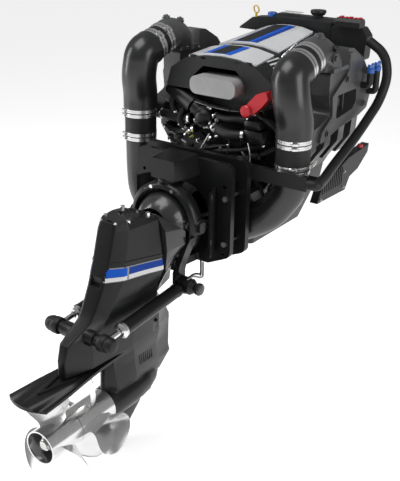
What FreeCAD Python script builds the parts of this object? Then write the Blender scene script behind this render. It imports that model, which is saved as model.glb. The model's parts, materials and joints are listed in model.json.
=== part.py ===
import FreeCAD, Part
import os
from math import asin, atan2, cos, hypot, pi, radians, sin, sqrt, tan

# Inboard stern drive package: V8 engine, transom assembly and drive leg with twin propellers.
# Millimetres. Origin on the crankshaft line at the inboard face of the boat's transom.
# +X is starboard, +Y is forward into the boat, +Z is up.

V = FreeCAD.Vector

# ---------------------------------------------------------------- general clearances
SEAT = 0.3                  # gap between pieces that seat on each other but belong to different bodies
RUN_FIT = 0.05              # radial running clearance of a pin or shaft in its bore
BOLT_HEAD_R = 9.0           # M12 hexagon head, across corners / 2
BOLT_HEAD_H = 7.0

# ---------------------------------------------------------------- steering and trim centre
PIVOT_Y = -165.0            # hinge pins and swivel pins cross here, on the crankshaft line
TILT_MAX = 48.0             # degrees up for trailering
RING_OUT_R = 140.0
RING_IN_R = 114.0
RING_BACK = 35.0            # ring's aft face behind the pivot
RING_FRONT = 20.0           # ring's forward face ahead of the pivot
HINGE_PIN_R = 14.0
HINGE_BOSS_R = 26.0
SWIVEL_PIN_R = 15.0
BELL_R = 106.0              # round shell of the bell housing, inside the ring
BELL_BORE_R = 62.0          # passage for the universal joint
BELL_MOUTH = 62.0           # forward end of the bell shell, ahead of the pivot
PLANE_GAP = 3.0             # what stays between ring and bell housing at full tilt

# ---------------------------------------------------------------- drive leg
FLANGE_Y = -305.0           # joint face of bell housing and driveshaft housing
FLANGE_TOP = 68.0
FLANGE_BOTTOM = -228.0
HOUSING_TOP = 61.0          # joint face under the top cover
SPLIT_Z = -372.0            # joint face of driveshaft housing and gearcase
LEG_BACK_TOP = -492.0
LEG_BACK_FOOT = -724.0
CAP_H = 24.0
PLATE_Z = -380.0            # anti-ventilation plate
PLATE_HALF = 80.0
PLATE_AFT = -878.0
PROP_Z = -577.0             # propeller shaft line
TORPEDO_R = 61.0
GEARCASE_END = -530.0       # aft face of the torpedo
LEAD_Y = -165.0             # leading edge of the gearcase
SKEG_TIP_Z = -760.0

# ---------------------------------------------------------------- propellers
HUB_R = 58.0
HUB_WALL = 5.0
PROP_GAP = 2.0              # axial gap between the hubs
FRONT_HUB_L = 160.0
REAR_HUB_L = 140.0
FRONT_PROP_R = 174.0
REAR_PROP_R = 178.0
FRONT_BLADES = 4
REAR_BLADES = 3
PROP_PITCH = 560.0
BLADE_T = 9.0
BLADE_CAMBER = 0.035        # rise of the blade face over its chord
INNER_SHAFT_R = 15.0
OUTER_SHAFT_R = 27.0

# ---------------------------------------------------------------- trim cylinders
TRIM_X = 100.0              # cylinder line off the centre plane
TRIM_FRONT_Y = -197.5
TRIM_FRONT_Z = -218.0
TRIM_AFT_Y = -626.0
TRIM_AFT_Z = -256.0
TRIM_BARREL_R = 24.0
TRIM_BORE_R = 19.0
TRIM_NECK_R = 10.5
TRIM_PISTON = 64.0          # front pin to piston, with room ahead for the trimmed-in stroke
TRIM_ROD_R = 9.5
TRIM_PIN_R = 9.5
TRIM_EYE_R = 24.0           # bore of the front eye, round its rubber bush
TRIM_BARREL_L = 346.0       # front pin to gland face
TRIM_EYE_W = 22.0

# ---------------------------------------------------------------- transom assembly
TRANSOM_GAP = 50.0          # boat transom between outer and inner plates
FLANGE_T = 22.0
PLATE_HALF_W = 205.0        # outer transom plate
PLATE_TOP = 208.0
PLATE_LOW = -176.0
TRANSOM_BOLT_X = 350.0      # bolt spacing across
TRANSOM_BOLT_Z = 250.0      # bolt spacing up
TRANSOM_STUD_X = 362.0
TRANSOM_STUD_Z = 170.0
TRANSOM_BOLT_R = 6.0
TRANSOM_HOLE_R = 6.5
CREST_HALF = 50.0           # upper swivel arm of the gimbal housing
CREST_LOW = RING_OUT_R + 11
CREST_TOP = 225.0
CREST_BACK = 27.0           # pivot to the crest's aft face, short of the top cover at full tilt
FOOT_HALF = 45.0            # lower swivel arm
FOOT_TOP = -RING_OUT_R - 7
FOOT_LOW = -184.0
THROAT_R = 112.0            # opening through the gimbal housing for the bellows
INNER_PLATE_T = 24.0
PLUG_X = 408.0              # drain hose plugs, outboard of the starboard manifold
PLUG_BOTTOM = 452.0
PLUG_SPOTS = [(532, 404), (590, 372)]
CRANK_PULLEY_R = 84.0
ALTERNATOR_PULLEY_R = 34.0
ALTERNATOR_SPOT = (246, 500)
PULLEY_Y = 727.0            # aft face of the belt pulleys, ahead of the front cover
PULLEY_W = 30.0
CRANK_NOSE_R = 20.0
ALTERNATOR_SHAFT_R = 9.0
INNER_PLATE_HALF = 222.0
BAR_END = 438.0             # bar on the inner plate that carries the water hose
HOSE_START_Y = 34.5
HOSE_START_Z = 164.0

# ---------------------------------------------------------------- engine
HOUSING_Y = 150.0           # aft face of the flywheel housing
BLOCK_Y = 190.0
BLOCK_END = 690.0
FLYWHEEL_R = 190.0
COUPLER_R = 58.0            # bearing tube between flywheel housing and transom
RISER_SEAT = 486.0          # joint face of riser and manifold
DECK_LOW = (216.0, 110.0)   # corners of a cylinder deck, starboard bank
DECK_HIGH = (110.0, 216.0)
HEAD_H = 84.0
VALVE_COVER_H = 44.0
SUMP_TOP = -70.0
SUMP_LOW = -214.0
PLENUM_TOP = 440.0
COVER_REAR = 140.0
COVER_FRONT = 660.0
COVER_WALL = 6.0

# ---------------------------------------------------------------- exhaust
EXHAUST_X = 315.0           # line of the risers and upper hoses
HOSE_R = 60.5
PIPE_R = 62.0
ELBOW_R = 65.0
LOWER_HOSE_X = 336.0
LOWER_HOSE_Y = 108.0
LOWER_HOSE_TOP = 292.0
LOWER_HOSE_END = 166.0
UPPER_HOSE_AFT = (EXHAUST_X, 142.0, 516.0)
UPPER_HOSE_FORE = (EXHAUST_X, 223.0, 541.0)
MANIFOLD_IN = 284.0
MANIFOLD_OUT = 376.0
MANIFOLD_STEP = 11.0


# ---------------------------------------------------------------- helpers
def box(x0, x1, y0, y1, z0, z1):
    """Box between two corners, given as ranges."""
    return Part.makeBox(x1 - x0, y1 - y0, z1 - z0, V(x0, y0, z0))


def rod(r, a, b):
    """Solid cylinder of radius r between points a and b."""
    a, b = V(*a), V(*b)
    return Part.makeCylinder(r, (b - a).Length, a, b - a)


def tube(r_out, r_in, a, b):
    """Hollow cylinder between points a and b."""
    return rod(r_out, a, b).cut(rod(r_in, a, b))


def cone(r_a, r_b, a, b):
    """Cone frustum between points a and b."""
    a, b = V(*a), V(*b)
    return Part.makeCone(r_a, r_b, (b - a).Length, a, b - a)


def fuse(*shapes):
    """One solid out of several that overlap or touch."""
    first = shapes[0]
    if len(shapes) > 1:
        first = first.fuse(list(shapes[1:]))
    return first.removeSplitter()


def outline(points, normal="z", level=0.0, round_r=0.0):
    """Closed wire through 2-D points in a plane across an axis; corners rounded by round_r."""
    def place(p):
        a, b = p
        return {"x": V(level, a, b), "y": V(a, level, b), "z": V(a, b, level)}[normal]

    corners = [place(p) for p in points]
    if round_r <= 0:
        return Part.makePolygon(corners + corners[:1])
    edges, ends = [], []
    count = len(corners)
    for i, p in enumerate(corners):
        before = corners[i - 1] - p
        after = corners[(i + 1) % count] - p
        turn = before.getAngle(after)
        cut = min(round_r / tan(turn / 2), 0.45 * before.Length, 0.45 * after.Length)
        start = p + before.normalize() * cut
        end = p + after.normalize() * cut
        middle = (before + after).normalize() * (cut / cos(turn / 2) - cut * tan(turn / 2))
        ends.append((start, p + middle, end))
    for i, (start, middle, end) in enumerate(ends):
        edges.append(Part.Arc(start, middle, end).toShape())
        edges.append(Part.makeLine(end, ends[(i + 1) % count][0]))
    return Part.Wire(edges)


def prism(points, normal, low, high, round_r=0.0):
    """Outline pushed from low to high along its axis."""
    face = Part.Face(outline(points, normal, low, round_r))
    step = {"x": V(high - low, 0, 0), "y": V(0, high - low, 0), "z": V(0, 0, high - low)}[normal]
    return face.extrude(step)


def largest(shape):
    """The biggest solid of a shape, without the chips a cut leaves."""
    return max(shape.Solids, key=lambda solid: solid.Volume)


def mirrored(half):
    """Points of one starboard side, closed by their port mirror image."""
    return list(half) + [(-a, b) for a, b in reversed(half)]


def both_sides(shape):
    """Shape and its mirror image across the centre plane."""
    return [shape, shape.mirror(V(0, 0, 0), V(1, 0, 0))]


def port(shape):
    """Mirror image across the centre plane."""
    return shape.mirror(V(0, 0, 0), V(1, 0, 0))


def revolve(profile, axis, origin):
    """Solid of revolution; profile holds (distance along the axis, radius) pairs."""
    along = {"x": V(1, 0, 0), "y": V(0, 1, 0), "z": V(0, 0, 1)}[axis]
    out = {"x": V(0, 0, 1), "y": V(1, 0, 0), "z": V(1, 0, 0)}[axis]
    points = [V(*origin) + along * s + out * r for s, r in profile]
    return Part.Face(Part.makePolygon(points + points[:1])).revolve(V(*origin), along, 360)


def pipe_path(points, bend=None):
    """Straight runs joined by tangent arcs; each arc is as large as its two runs allow."""
    pts = [V(*p) for p in points]
    edges = []
    start = pts[0]
    for i in range(1, len(pts) - 1):
        back = pts[i - 1] - pts[i]
        ahead = pts[i + 1] - pts[i]
        half = back.getAngle(ahead) / 2
        reach = 0.46 * min(back.Length, ahead.Length)
        if bend:
            reach = min(reach, bend / tan(half))
        a = pts[i] + back.normalize() * reach
        b = pts[i] + ahead.normalize() * reach
        middle = pts[i] + (back + ahead).normalize() * (reach / cos(half) - reach * tan(half))
        edges.append(Part.makeLine(start, a))
        edges.append(Part.Arc(a, middle, b).toShape())
        start = b
    edges.append(Part.makeLine(start, pts[-1]))
    return Part.Wire(edges)


def pipe(points, r, bend=None):
    """Round bar of radius r along pipe_path(points)."""
    path = pipe_path(points, bend)
    first = path.OrderedEdges[0]
    heading = first.tangentAt(first.FirstParameter)
    section = Part.Wire(Part.makeCircle(r, V(*points[0]), heading))
    return path.makePipeShell([section], True, False, 2)


def bolt_ring(pattern, axis, level, head_r=BOLT_HEAD_R, head_h=BOLT_HEAD_H):
    """Hexagon heads on a face; pattern holds the two coordinates across the axis."""
    heads = []
    for a, b in pattern:
        ring = [(a + head_r * cos(k * pi / 3), b + head_r * sin(k * pi / 3)) for k in range(6)]
        heads.append(prism(ring, axis, level, level + head_h))
    return heads


def export(name, *shapes):
    """Write one node as parts/NAME.step, in one file with a solid for each shape."""
    solids = []
    for shape in shapes:
        solids += shape.Solids
    for solid in solids:
        if not solid.isValid():
            print("invalid solid in", name)
    whole = solids[0] if len(solids) == 1 else Part.makeCompound(solids)
    whole.exportStep("parts/" + name + ".step")
    box_ = whole.BoundBox
    print(name, len(solids), "solids", [round(v) for v in (box_.XMin, box_.XMax, box_.YMin, box_.YMax,
                                                           box_.ZMin, box_.ZMax)])


PIVOT = (0, PIVOT_Y, 0)


# ================================================================ gimbal ring
def barrel_swing():
    """Room that a trim barrel sweeps beside the ring's arm as the leg tilts."""
    room = []
    for degrees_up in range(-10, 46, 5):
        a = radians(degrees_up)
        reach = [V(TRIM_X, TRIM_FRONT_Y - s * cos(a), TRIM_FRONT_Z + s * sin(a)) for s in (26, 110)]
        room.append(rod(TRIM_BARREL_R + 2, reach[0], reach[1]))
    return room


def gimbal_ring():
    """Hoop that swivels on the vertical pins and carries the hinge pins and trim cylinders."""
    chamfer = 6.0
    hoop = revolve([(-RING_BACK, RING_IN_R + chamfer), (-RING_BACK, RING_OUT_R - 2 * chamfer),
                    (-RING_BACK + 2 * chamfer, RING_OUT_R), (RING_FRONT - chamfer, RING_OUT_R),
                    (RING_FRONT, RING_OUT_R - chamfer), (RING_FRONT, RING_IN_R),
                    (-RING_BACK + chamfer, RING_IN_R)], "y", PIVOT)
    lug_in = TRIM_X - TRIM_EYE_W / 2 - 26
    lug_out = TRIM_X - TRIM_EYE_W / 2 - 1.5
    half = [(RING_OUT_R * cos(radians(-12)), RING_OUT_R * sin(radians(-12))),
            (lug_out + 8, TRIM_FRONT_Z * 0.62), (lug_out, TRIM_FRONT_Z + 50),
            (lug_out, TRIM_FRONT_Z - 20), (lug_in, TRIM_FRONT_Z - 20), (lug_in, TRIM_FRONT_Z + 40),
            (RING_IN_R * cos(radians(-50)) + 6, RING_OUT_R * sin(radians(-56)))]
    arm = prism(half, "y", TRIM_FRONT_Y - 20, TRIM_FRONT_Y + 22)
    arm = arm.cut([rod(RING_IN_R, (0, PIVOT_Y - 90, 0), (0, PIVOT_Y + 90, 0)), *barrel_swing()])
    ring = fuse(hoop, *both_sides(arm))
    for side in (-1, 1):
        boss = rod(HINGE_BOSS_R, (side * (RING_IN_R + 2), PIVOT_Y, 0), (side * (RING_OUT_R + 6), PIVOT_Y, 0))
        ring = ring.fuse(boss)
    post = rod(32, (0, PIVOT_Y, RING_OUT_R - 6), (0, PIVOT_Y, CREST_LOW - SEAT))
    foot = rod(28, (0, PIVOT_Y, -RING_OUT_R + 6), (0, PIVOT_Y, FOOT_TOP + SEAT))
    ring = ring.fuse([post, foot]).removeSplitter()
    cuts = [rod(HINGE_PIN_R + RUN_FIT, (-180, PIVOT_Y, 0), (180, PIVOT_Y, 0)),
            rod(SWIVEL_PIN_R, (0, PIVOT_Y, -180), (0, PIVOT_Y, 180)),
            rod(TRIM_PIN_R, (-180, TRIM_FRONT_Y, TRIM_FRONT_Z), (180, TRIM_FRONT_Y, TRIM_FRONT_Z))]
    return ring.cut(cuts)


def swivel_pins():
    """Upper swivel shaft and lower swivel pin, clamped in the ring."""
    top = rod(SWIVEL_PIN_R, (0, PIVOT_Y, RING_IN_R + 1), (0, PIVOT_Y, CREST_TOP - 14))
    low = rod(SWIVEL_PIN_R, (0, PIVOT_Y, -RING_IN_R - 1), (0, PIVOT_Y, FOOT_LOW + 6))
    return [top, low]


def ring_bolts():
    """Two bright clamp bolts on the crown of the ring."""
    bolts = []
    for side in (-1, 1):
        x = side * 44
        z = (RING_IN_R + RING_OUT_R) / 2 - 8
        bolts.append(rod(6.5, (x, PIVOT_Y - RING_BACK - 2.4, z), (x, PIVOT_Y - RING_BACK, z)))
    return bolts


def hinge_pins():
    """Hinge pins that carry the bell housing in the ring."""
    pins = []
    for side in (-1, 1):
        shank = rod(HINGE_PIN_R, (side * (BELL_R - 16), PIVOT_Y, 0), (side * (RING_OUT_R + 8), PIVOT_Y, 0))
        head = rod(20, (side * (RING_OUT_R + 6 + SEAT), PIVOT_Y, 0), (side * (RING_OUT_R + 14), PIVOT_Y, 0))
        pins.append(fuse(shank, head))
    return pins


# ================================================================ bell housing
def bell_housing():
    """Round shell in the ring and flared body behind it, cut back to clear the ring at full tilt."""
    steps = 7
    mouth = asin(BELL_MOUTH / BELL_R)
    start = radians(-68)
    turns = [start + (mouth - start) * k / steps for k in range(steps + 1)]
    dome = [(BELL_R * sin(a), BELL_R * cos(a)) for a in turns]
    shell = revolve([(dome[0][0], 0)] + dome + [(BELL_MOUTH, 0)], "y", PIVOT)
    near = [(60, 60), (116, 10), (120, -50), (76, -112), (56, -150), (50, -200), (30, FLANGE_BOTTOM + 6)]
    far = [(60, FLANGE_TOP), (98, 20), (106, -50), (98, -134), (74, -180), (66, -208), (40, FLANGE_BOTTOM)]
    hull = Part.makeLoft([outline(mirrored(near), "y", PIVOT_Y - RING_BACK - 18, 12),
                          outline(mirrored(far), "y", FLANGE_Y, 12)], True, True)
    # half space that the ring's aft face sweeps into at full tilt
    blade = box(-400, 400, -RING_BACK - PLANE_GAP, 500, -500, 500)
    blade.rotate(V(0, 0, 0), V(1, 0, 0), TILT_MAX)
    blade.translate(V(*PIVOT))
    hull = hull.cut(blade)
    bell = fuse(shell, hull)
    for side in (-1, 1):
        bell = bell.fuse(rod(26, (side * 80, PIVOT_Y, 0), (side * (RING_IN_R - 3.5), PIVOT_Y, 0)))
    bell = bell.removeSplitter()
    cuts = [rod(BELL_BORE_R, (0, FLANGE_Y - 1, 0), (0, PIVOT_Y + BELL_MOUTH + 1, 0)),
            rod(HINGE_PIN_R, (-180, PIVOT_Y, 0), (180, PIVOT_Y, 0))]
    return bell.cut(cuts)


# ================================================================ driveshaft housing
HOUSING_SECTIONS = [        # level, then half outline from the back corner to the flange corner
    (HOUSING_TOP, [(34, LEG_BACK_TOP), (60, -446), (70, -370), (76, FLANGE_Y)]),
    (-40, [(33, -522), (64, -468), (78, -384), (94, FLANGE_Y)]),
    (-118, [(31, -552), (64, -492), (80, -392), (100, FLANGE_Y)]),
    (-180, [(28, -586), (56, -530), (66, -420), (72, FLANGE_Y)]),
    (-216, [(26, -612), (54, -556), (64, -424), (70, FLANGE_Y)]),
    (-262, [(18, -708), (48, -600), (62, -430), (66, FLANGE_Y)]),
    (-316, [(16, LEG_BACK_FOOT), (46, -620), (58, -430), (56, FLANGE_Y)]),
    (SPLIT_Z, [(15, LEG_BACK_FOOT), (44, -620), (54, -430), (50, FLANGE_Y)]),
]


def driveshaft_housing():
    """Upper leg casting: lofted level sections, with a toe that runs forward under the bell housing."""
    wires = [outline(mirrored(half), "z", level, 12) for level, half in HOUSING_SECTIONS]
    body = Part.makeLoft(wires, True, True)
    toe_top = [(54, FLANGE_Y - 30), (56, FLANGE_Y + 8), (20, FLANGE_Y + 46)]
    toe_mid = [(54, FLANGE_Y - 30), (54, FLANGE_Y + 20), (16, LEAD_Y - 40)]
    toe_low = [(50, FLANGE_Y - 30), (46, FLANGE_Y + 30), (9, LEAD_Y)]
    toe = Part.makeLoft([outline(mirrored(toe_top), "z", FLANGE_BOTTOM - 6, 6),
                         outline(mirrored(toe_mid), "z", -310, 6),
                         outline(mirrored(toe_low), "z", SPLIT_Z, 4)], True, True)
    body = fuse(body, toe)
    pad = rod(26, (-66, TRIM_AFT_Y, TRIM_AFT_Z), (66, TRIM_AFT_Y, TRIM_AFT_Z))
    body = body.fuse(pad).removeSplitter()
    return body.cut([rod(TRIM_PIN_R, (-180, TRIM_AFT_Y, TRIM_AFT_Z), (180, TRIM_AFT_Y, TRIM_AFT_Z)),
                     box(-20, 20, -640, LEG_BACK_TOP - 46, -116, -86)])


def top_cover():
    """Lid over the upper gears, dished at the front, with a ramp down to the flange."""
    low = outline(mirrored(HOUSING_SECTIONS[0][1]), "z", HOUSING_TOP, 12)
    high = outline(mirrored([(30, LEG_BACK_TOP + 8), (53, -446), (62, -372), (66, -330)]),
                   "z", HOUSING_TOP + CAP_H, 12)
    lid = Part.makeLoft([low, high], True, True)
    ramp = prism([(FLANGE_Y + 10, HOUSING_TOP + 6), (FLANGE_Y - 82, HOUSING_TOP + CAP_H + 0.01),
                  (FLANGE_Y - 82, HOUSING_TOP + CAP_H + 40), (FLANGE_Y + 10, HOUSING_TOP + CAP_H + 40)],
                 "x", -120, 120)
    dish = cone(30, 42, (0, -368, HOUSING_TOP + CAP_H - 8), (0, -368, HOUSING_TOP + CAP_H + 1))
    slot = box(-13, 13, -474, -465, HOUSING_TOP + CAP_H - 5, HOUSING_TOP + CAP_H + 1)
    return lid.cut([ramp, dish, slot])


COVER_BOLTS = [(48, -435), (-48, -435), (54, -342), (-54, -342)]


def cover_bolts():
    """Four hexagon bolts of the top cover."""
    cover = top_cover()
    return [bolt.cut(cover) for bolt in bolt_ring(COVER_BOLTS, "z", HOUSING_TOP + 12, 8.0, 16.0)]


# ================================================================ gearcase
def gearcase():
    """Lower leg casting: anti-ventilation plate, strut, torpedo and skeg."""
    stern = GEARCASE_END
    sections = [(SPLIT_Z, 4, [(14, -700), (42, -600), (53, -430), (44, -270), (8, LEAD_Y)]),
                (-397, 3, [(8, stern + 4), (36, -510), (50, -420), (40, -270), (7, LEAD_Y)]),
                (-440, 3, [(8, stern + 4), (34, -506), (44, -410), (30, -270), (6, LEAD_Y)]),
                (-500, 4, [(8, stern), (38, -500), (44, -400), (24, -260), (5, LEAD_Y)]),
                (-532, 4, [(8, stern), (40, -500), (42, -400), (20, -250), (5, LEAD_Y + 9)]),
                (-580, 4, [(8, stern), (40, -500), (36, -400), (14, -290), (4, -215)])]
    wires = [outline(mirrored(half), "z", level, r) for level, r, half in sections]
    strut = Part.makeLoft(wires, True, True)
    torpedo = revolve([(GEARCASE_END, 0), (GEARCASE_END, HUB_R), (-500, TORPEDO_R), (-400, TORPEDO_R),
                       (-330, TORPEDO_R * 0.86), (-275, TORPEDO_R * 0.56), (-240, TORPEDO_R * 0.22),
                       (-232, 0)], "y", (0, 0, PROP_Z))
    skeg_levels = [(PROP_Z - 26, -256, -526, 11), (-660, -326, -532, 7.5), (-722, -398, -544, 5),
                   (SKEG_TIP_Z, -452, -552, 3)]
    wires = []
    for level, lead, trail, t in skeg_levels:
        chord = lead - trail
        half = [(2, trail), (t, trail + 0.3 * chord), (t, lead - 0.25 * chord), (1.2, lead)]
        wires.append(outline(mirrored(half), "z", level))
    skeg = Part.makeLoft(wires, True, True)
    half = [(PLATE_HALF, PLATE_AFT + 6), (PLATE_HALF - 8, -756), (PLATE_HALF - 17, -684), (54, -600),
            (46, -430), (40, -300), (9, LEAD_Y - 2)]
    edge = [V(x, y, PLATE_Z - 30) for x, y in half]
    rim = [Part.makeLine(a, b) for a, b in zip(edge, edge[1:])]
    other = [V(-p.x, p.y, p.z) for p in reversed(edge)]
    rim.append(Part.makeLine(edge[-1], other[0]))
    rim += [Part.makeLine(a, b) for a, b in zip(other, other[1:])]
    rim.append(Part.Arc(other[-1], V(0, PLATE_AFT - 22, PLATE_Z - 30), edge[0]).toShape())
    plan = Part.Face(Part.Wire(rim)).extrude(V(0, 0, 60))
    upper = [(-110, -11), (-58, -2), (0, 0), (58, -2), (110, -11)]
    lower = [(110, -18), (58, -12), (-58, -12), (-110, -18)]
    crown = prism([(x, PLATE_Z + dz) for x, dz in upper + lower], "y", PLATE_AFT - 40, LEAD_Y + 20)
    plate = crown.common(plan)
    ridges = []
    for side in (-1, 1):
        rib = prism([(side * 2, -828), (side * 34, -690), (side * 26, -690), (side * -4, -815)],
                    "z", PLATE_Z - 6, PLATE_Z + 5)
        ridges.append(rib)
    body = fuse(strut, torpedo, skeg, plate, *ridges)
    return body.cut([rod(OUTER_SHAFT_R + RUN_FIT, (0, GEARCASE_END - 1, PROP_Z), (0, SHAFT_END + 4, PROP_Z)),
                     rod(OUTER_SHAFT_R + 14, (0, GEARCASE_END - 1, PROP_Z), (0, GEARCASE_END + 16, PROP_Z))])


# ================================================================ propellers and shafts
def blade(tip_r, chord, hand, rake):
    """One blade along +X before it is turned to its place; the shaft runs along Y through the origin."""
    stations = [(HUB_R - 8, 0.60, 1.00), (0.46 * tip_r + 18, 0.86, 0.8), (0.72 * tip_r, 1.0, 0.55),
                (0.88 * tip_r, 0.86, 0.4), (0.965 * tip_r, 0.56, 0.32), (tip_r, 0.20, 0.32)]
    wires = []
    for r, share, thick in stations:
        pitch = atan2(PROP_PITCH, 2 * pi * r)
        span = share * chord / 2
        sweep = hand * 16 * (r / tip_r) ** 3
        lean = -rake * (r - HUB_R) / tip_r
        along = V(0, sin(pitch), hand * cos(pitch))
        normal = V(0, cos(pitch), -hand * sin(pitch))
        centre = V(r, lean, sweep)
        lead = centre + along * span
        trail = centre - along * span
        camber = BLADE_CAMBER * share * chord
        upper = centre + normal * (camber + thick * BLADE_T / 2)
        lower = centre + normal * (camber - thick * BLADE_T / 2)
        faces = Part.Arc(lead, upper, trail), Part.Arc(trail, lower, lead)
        wires.append(Part.Wire([face.toShape() for face in faces]))
    return Part.makeLoft(wires, True, False)


def propeller(front_y, length, tip_r, count, chord, hand, phase, rake, cuff):
    """Through-hub propeller: exhaust tube, inner boss with spokes and blades."""
    aft_y = front_y - length
    barrel = revolve([(front_y, HUB_R - HUB_WALL), (front_y, HUB_R), (aft_y, HUB_R + cuff),
                      (aft_y, HUB_R + cuff - HUB_WALL)], "y", (0, 0, PROP_Z))
    boss = rod(30, (0, front_y, PROP_Z), (0, aft_y + 38, PROP_Z))
    wheel = barrel.fuse(boss)
    for k in range(4):
        spoke = box(-4, 4, aft_y + 44, front_y - 4, 28, HUB_R - 2)
        spoke.rotate(V(0, 0, 0), V(0, 1, 0), 45 + 90 * k)
        spoke.translate(V(0, 0, PROP_Z))
        wheel = wheel.fuse(spoke)
    core = rod(HUB_R - 1.5, (0, front_y + 60, PROP_Z), (0, aft_y - 80, PROP_Z))
    for k in range(count):
        wing = blade(tip_r, chord, hand, rake)
        wing.rotate(V(0, 0, 0), V(0, 1, 0), -(phase + 360 * k / count))
        wing.translate(V(0, front_y - 0.46 * length, PROP_Z))
        wheel = wheel.fuse(wing.cut(core))
    return wheel


FRONT_PROP_Y = GEARCASE_END - PROP_GAP
REAR_PROP_Y = FRONT_PROP_Y - FRONT_HUB_L - PROP_GAP


def front_propeller():
    wheel = propeller(FRONT_PROP_Y, FRONT_HUB_L, FRONT_PROP_R, FRONT_BLADES, 150, 1, -12, 20, 0)
    return wheel.cut(rod(OUTER_SHAFT_R, (0, FRONT_PROP_Y + 1, PROP_Z), (0, REAR_PROP_Y, PROP_Z)))


def rear_propeller():
    wheel = propeller(REAR_PROP_Y, REAR_HUB_L, REAR_PROP_R, REAR_BLADES, 150, -1, -15, 26, 1)
    return wheel.cut(rod(INNER_SHAFT_R, (0, REAR_PROP_Y + 1, PROP_Z), (0, -900, PROP_Z)))


SHAFT_END = GEARCASE_END + 56


def outer_prop_shaft():
    """Hollow shaft of the forward propeller."""
    end = FRONT_PROP_Y - FRONT_HUB_L + 40
    return tube(OUTER_SHAFT_R, INNER_SHAFT_R + RUN_FIT, (0, SHAFT_END, PROP_Z), (0, end, PROP_Z))


def inner_prop_shaft():
    """Shaft of the aft propeller, running through the hollow one."""
    end = REAR_PROP_Y - REAR_HUB_L + 14
    shaft = rod(INNER_SHAFT_R, (0, SHAFT_END, PROP_Z), (0, end, PROP_Z))
    return shaft


def propeller_nut():
    """Castellated nut on the aft shaft end, with its washer."""
    start = REAR_PROP_Y - REAR_HUB_L + 38 - SEAT
    nut = rod(20, (0, start - 18, PROP_Z), (0, start, PROP_Z))
    washer = rod(26, (0, start - 4, PROP_Z), (0, start, PROP_Z))
    nut = nut.fuse(washer)
    for k in range(3):
        slot = box(-3, 3, start - 19, start - 12, -22, 22)
        slot.rotate(V(0, 0, 0), V(0, 1, 0), 60 * k)
        slot.translate(V(0, 0, PROP_Z))
        nut = nut.cut(slot)
    return nut.cut(rod(INNER_SHAFT_R, (0, start - 20, PROP_Z), (0, start + 1, PROP_Z)))


# ================================================================ trim cylinders
TRIM_DY = TRIM_AFT_Y - TRIM_FRONT_Y
TRIM_DZ = TRIM_AFT_Z - TRIM_FRONT_Z
TRIM_LENGTH = hypot(TRIM_DY, TRIM_DZ)
TRIM_ALONG = V(0, TRIM_DY / TRIM_LENGTH, TRIM_DZ / TRIM_LENGTH)


def along_trim(distance, x=TRIM_X):
    """Point on the cylinder line, measured aft from the front pin."""
    p = V(x, TRIM_FRONT_Y, TRIM_FRONT_Z) + TRIM_ALONG * distance
    return (p.x, p.y, p.z)


def trim_barrel():
    """Cylinder barrel with its front eye; the bore stops behind the eye."""
    eye_r = TRIM_EYE_R + 7
    eye = rod(eye_r, (TRIM_X - TRIM_EYE_W / 2, TRIM_FRONT_Y, TRIM_FRONT_Z),
              (TRIM_X + TRIM_EYE_W / 2, TRIM_FRONT_Y, TRIM_FRONT_Z))
    neck = rod(TRIM_NECK_R, along_trim(eye_r - 1.5), along_trim(eye_r + 10))
    barrel = rod(TRIM_BARREL_R, along_trim(eye_r + 8), along_trim(TRIM_BARREL_L - 12))
    body = fuse(eye, neck, barrel)
    return body.cut([rod(TRIM_EYE_R, (TRIM_X - 40, TRIM_FRONT_Y, TRIM_FRONT_Z),
                         (TRIM_X + 40, TRIM_FRONT_Y, TRIM_FRONT_Z)),
                     rod(TRIM_BORE_R, along_trim(eye_r + 14), along_trim(TRIM_BARREL_L))])


def trim_gland():
    """Bright end ring that guides the rod."""
    ring = rod(TRIM_BARREL_R + 1.5, along_trim(TRIM_BARREL_L - 12), along_trim(TRIM_BARREL_L))
    return ring.cut(rod(TRIM_ROD_R + RUN_FIT, along_trim(TRIM_BARREL_L - 20), along_trim(TRIM_BARREL_L + 5)))


def trim_rod():
    """Chrome rod with its piston and aft eye."""
    shaft = rod(TRIM_ROD_R, along_trim(TRIM_PISTON + 8), along_trim(TRIM_LENGTH - 16))
    piston = rod(TRIM_BORE_R - RUN_FIT, along_trim(TRIM_PISTON), along_trim(TRIM_PISTON + 24))
    eye = rod(19, (TRIM_X - 12, TRIM_AFT_Y, TRIM_AFT_Z), (TRIM_X + 12, TRIM_AFT_Y, TRIM_AFT_Z))
    body = fuse(shaft, piston, eye)
    return body.cut(rod(TRIM_PIN_R + RUN_FIT, (TRIM_X - 20, TRIM_AFT_Y, TRIM_AFT_Z),
                        (TRIM_X + 20, TRIM_AFT_Y, TRIM_AFT_Z)))


def trim_front_pin():
    """Front anchor pins with their round caps."""
    pins = []
    for side in (-1, 1):
        inner = TRIM_X - TRIM_EYE_W / 2 - 26
        shank = rod(TRIM_PIN_R, (side * inner, TRIM_FRONT_Y, TRIM_FRONT_Z),
                    (side * (TRIM_X + 16), TRIM_FRONT_Y, TRIM_FRONT_Z))
        start = TRIM_X + TRIM_EYE_W / 2 + 1.0
        cap = revolve([(start, 0), (start, TRIM_EYE_R + 5), (start + 20, TRIM_EYE_R + 5),
                       (start + 33, TRIM_EYE_R - 4), (start + 41, 8), (start + 42, 0)],
                      "x", (0, TRIM_FRONT_Y, TRIM_FRONT_Z))
        if side < 0:
            cap = port(cap)
        pins.append(fuse(shank, cap))
    return pins


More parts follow.
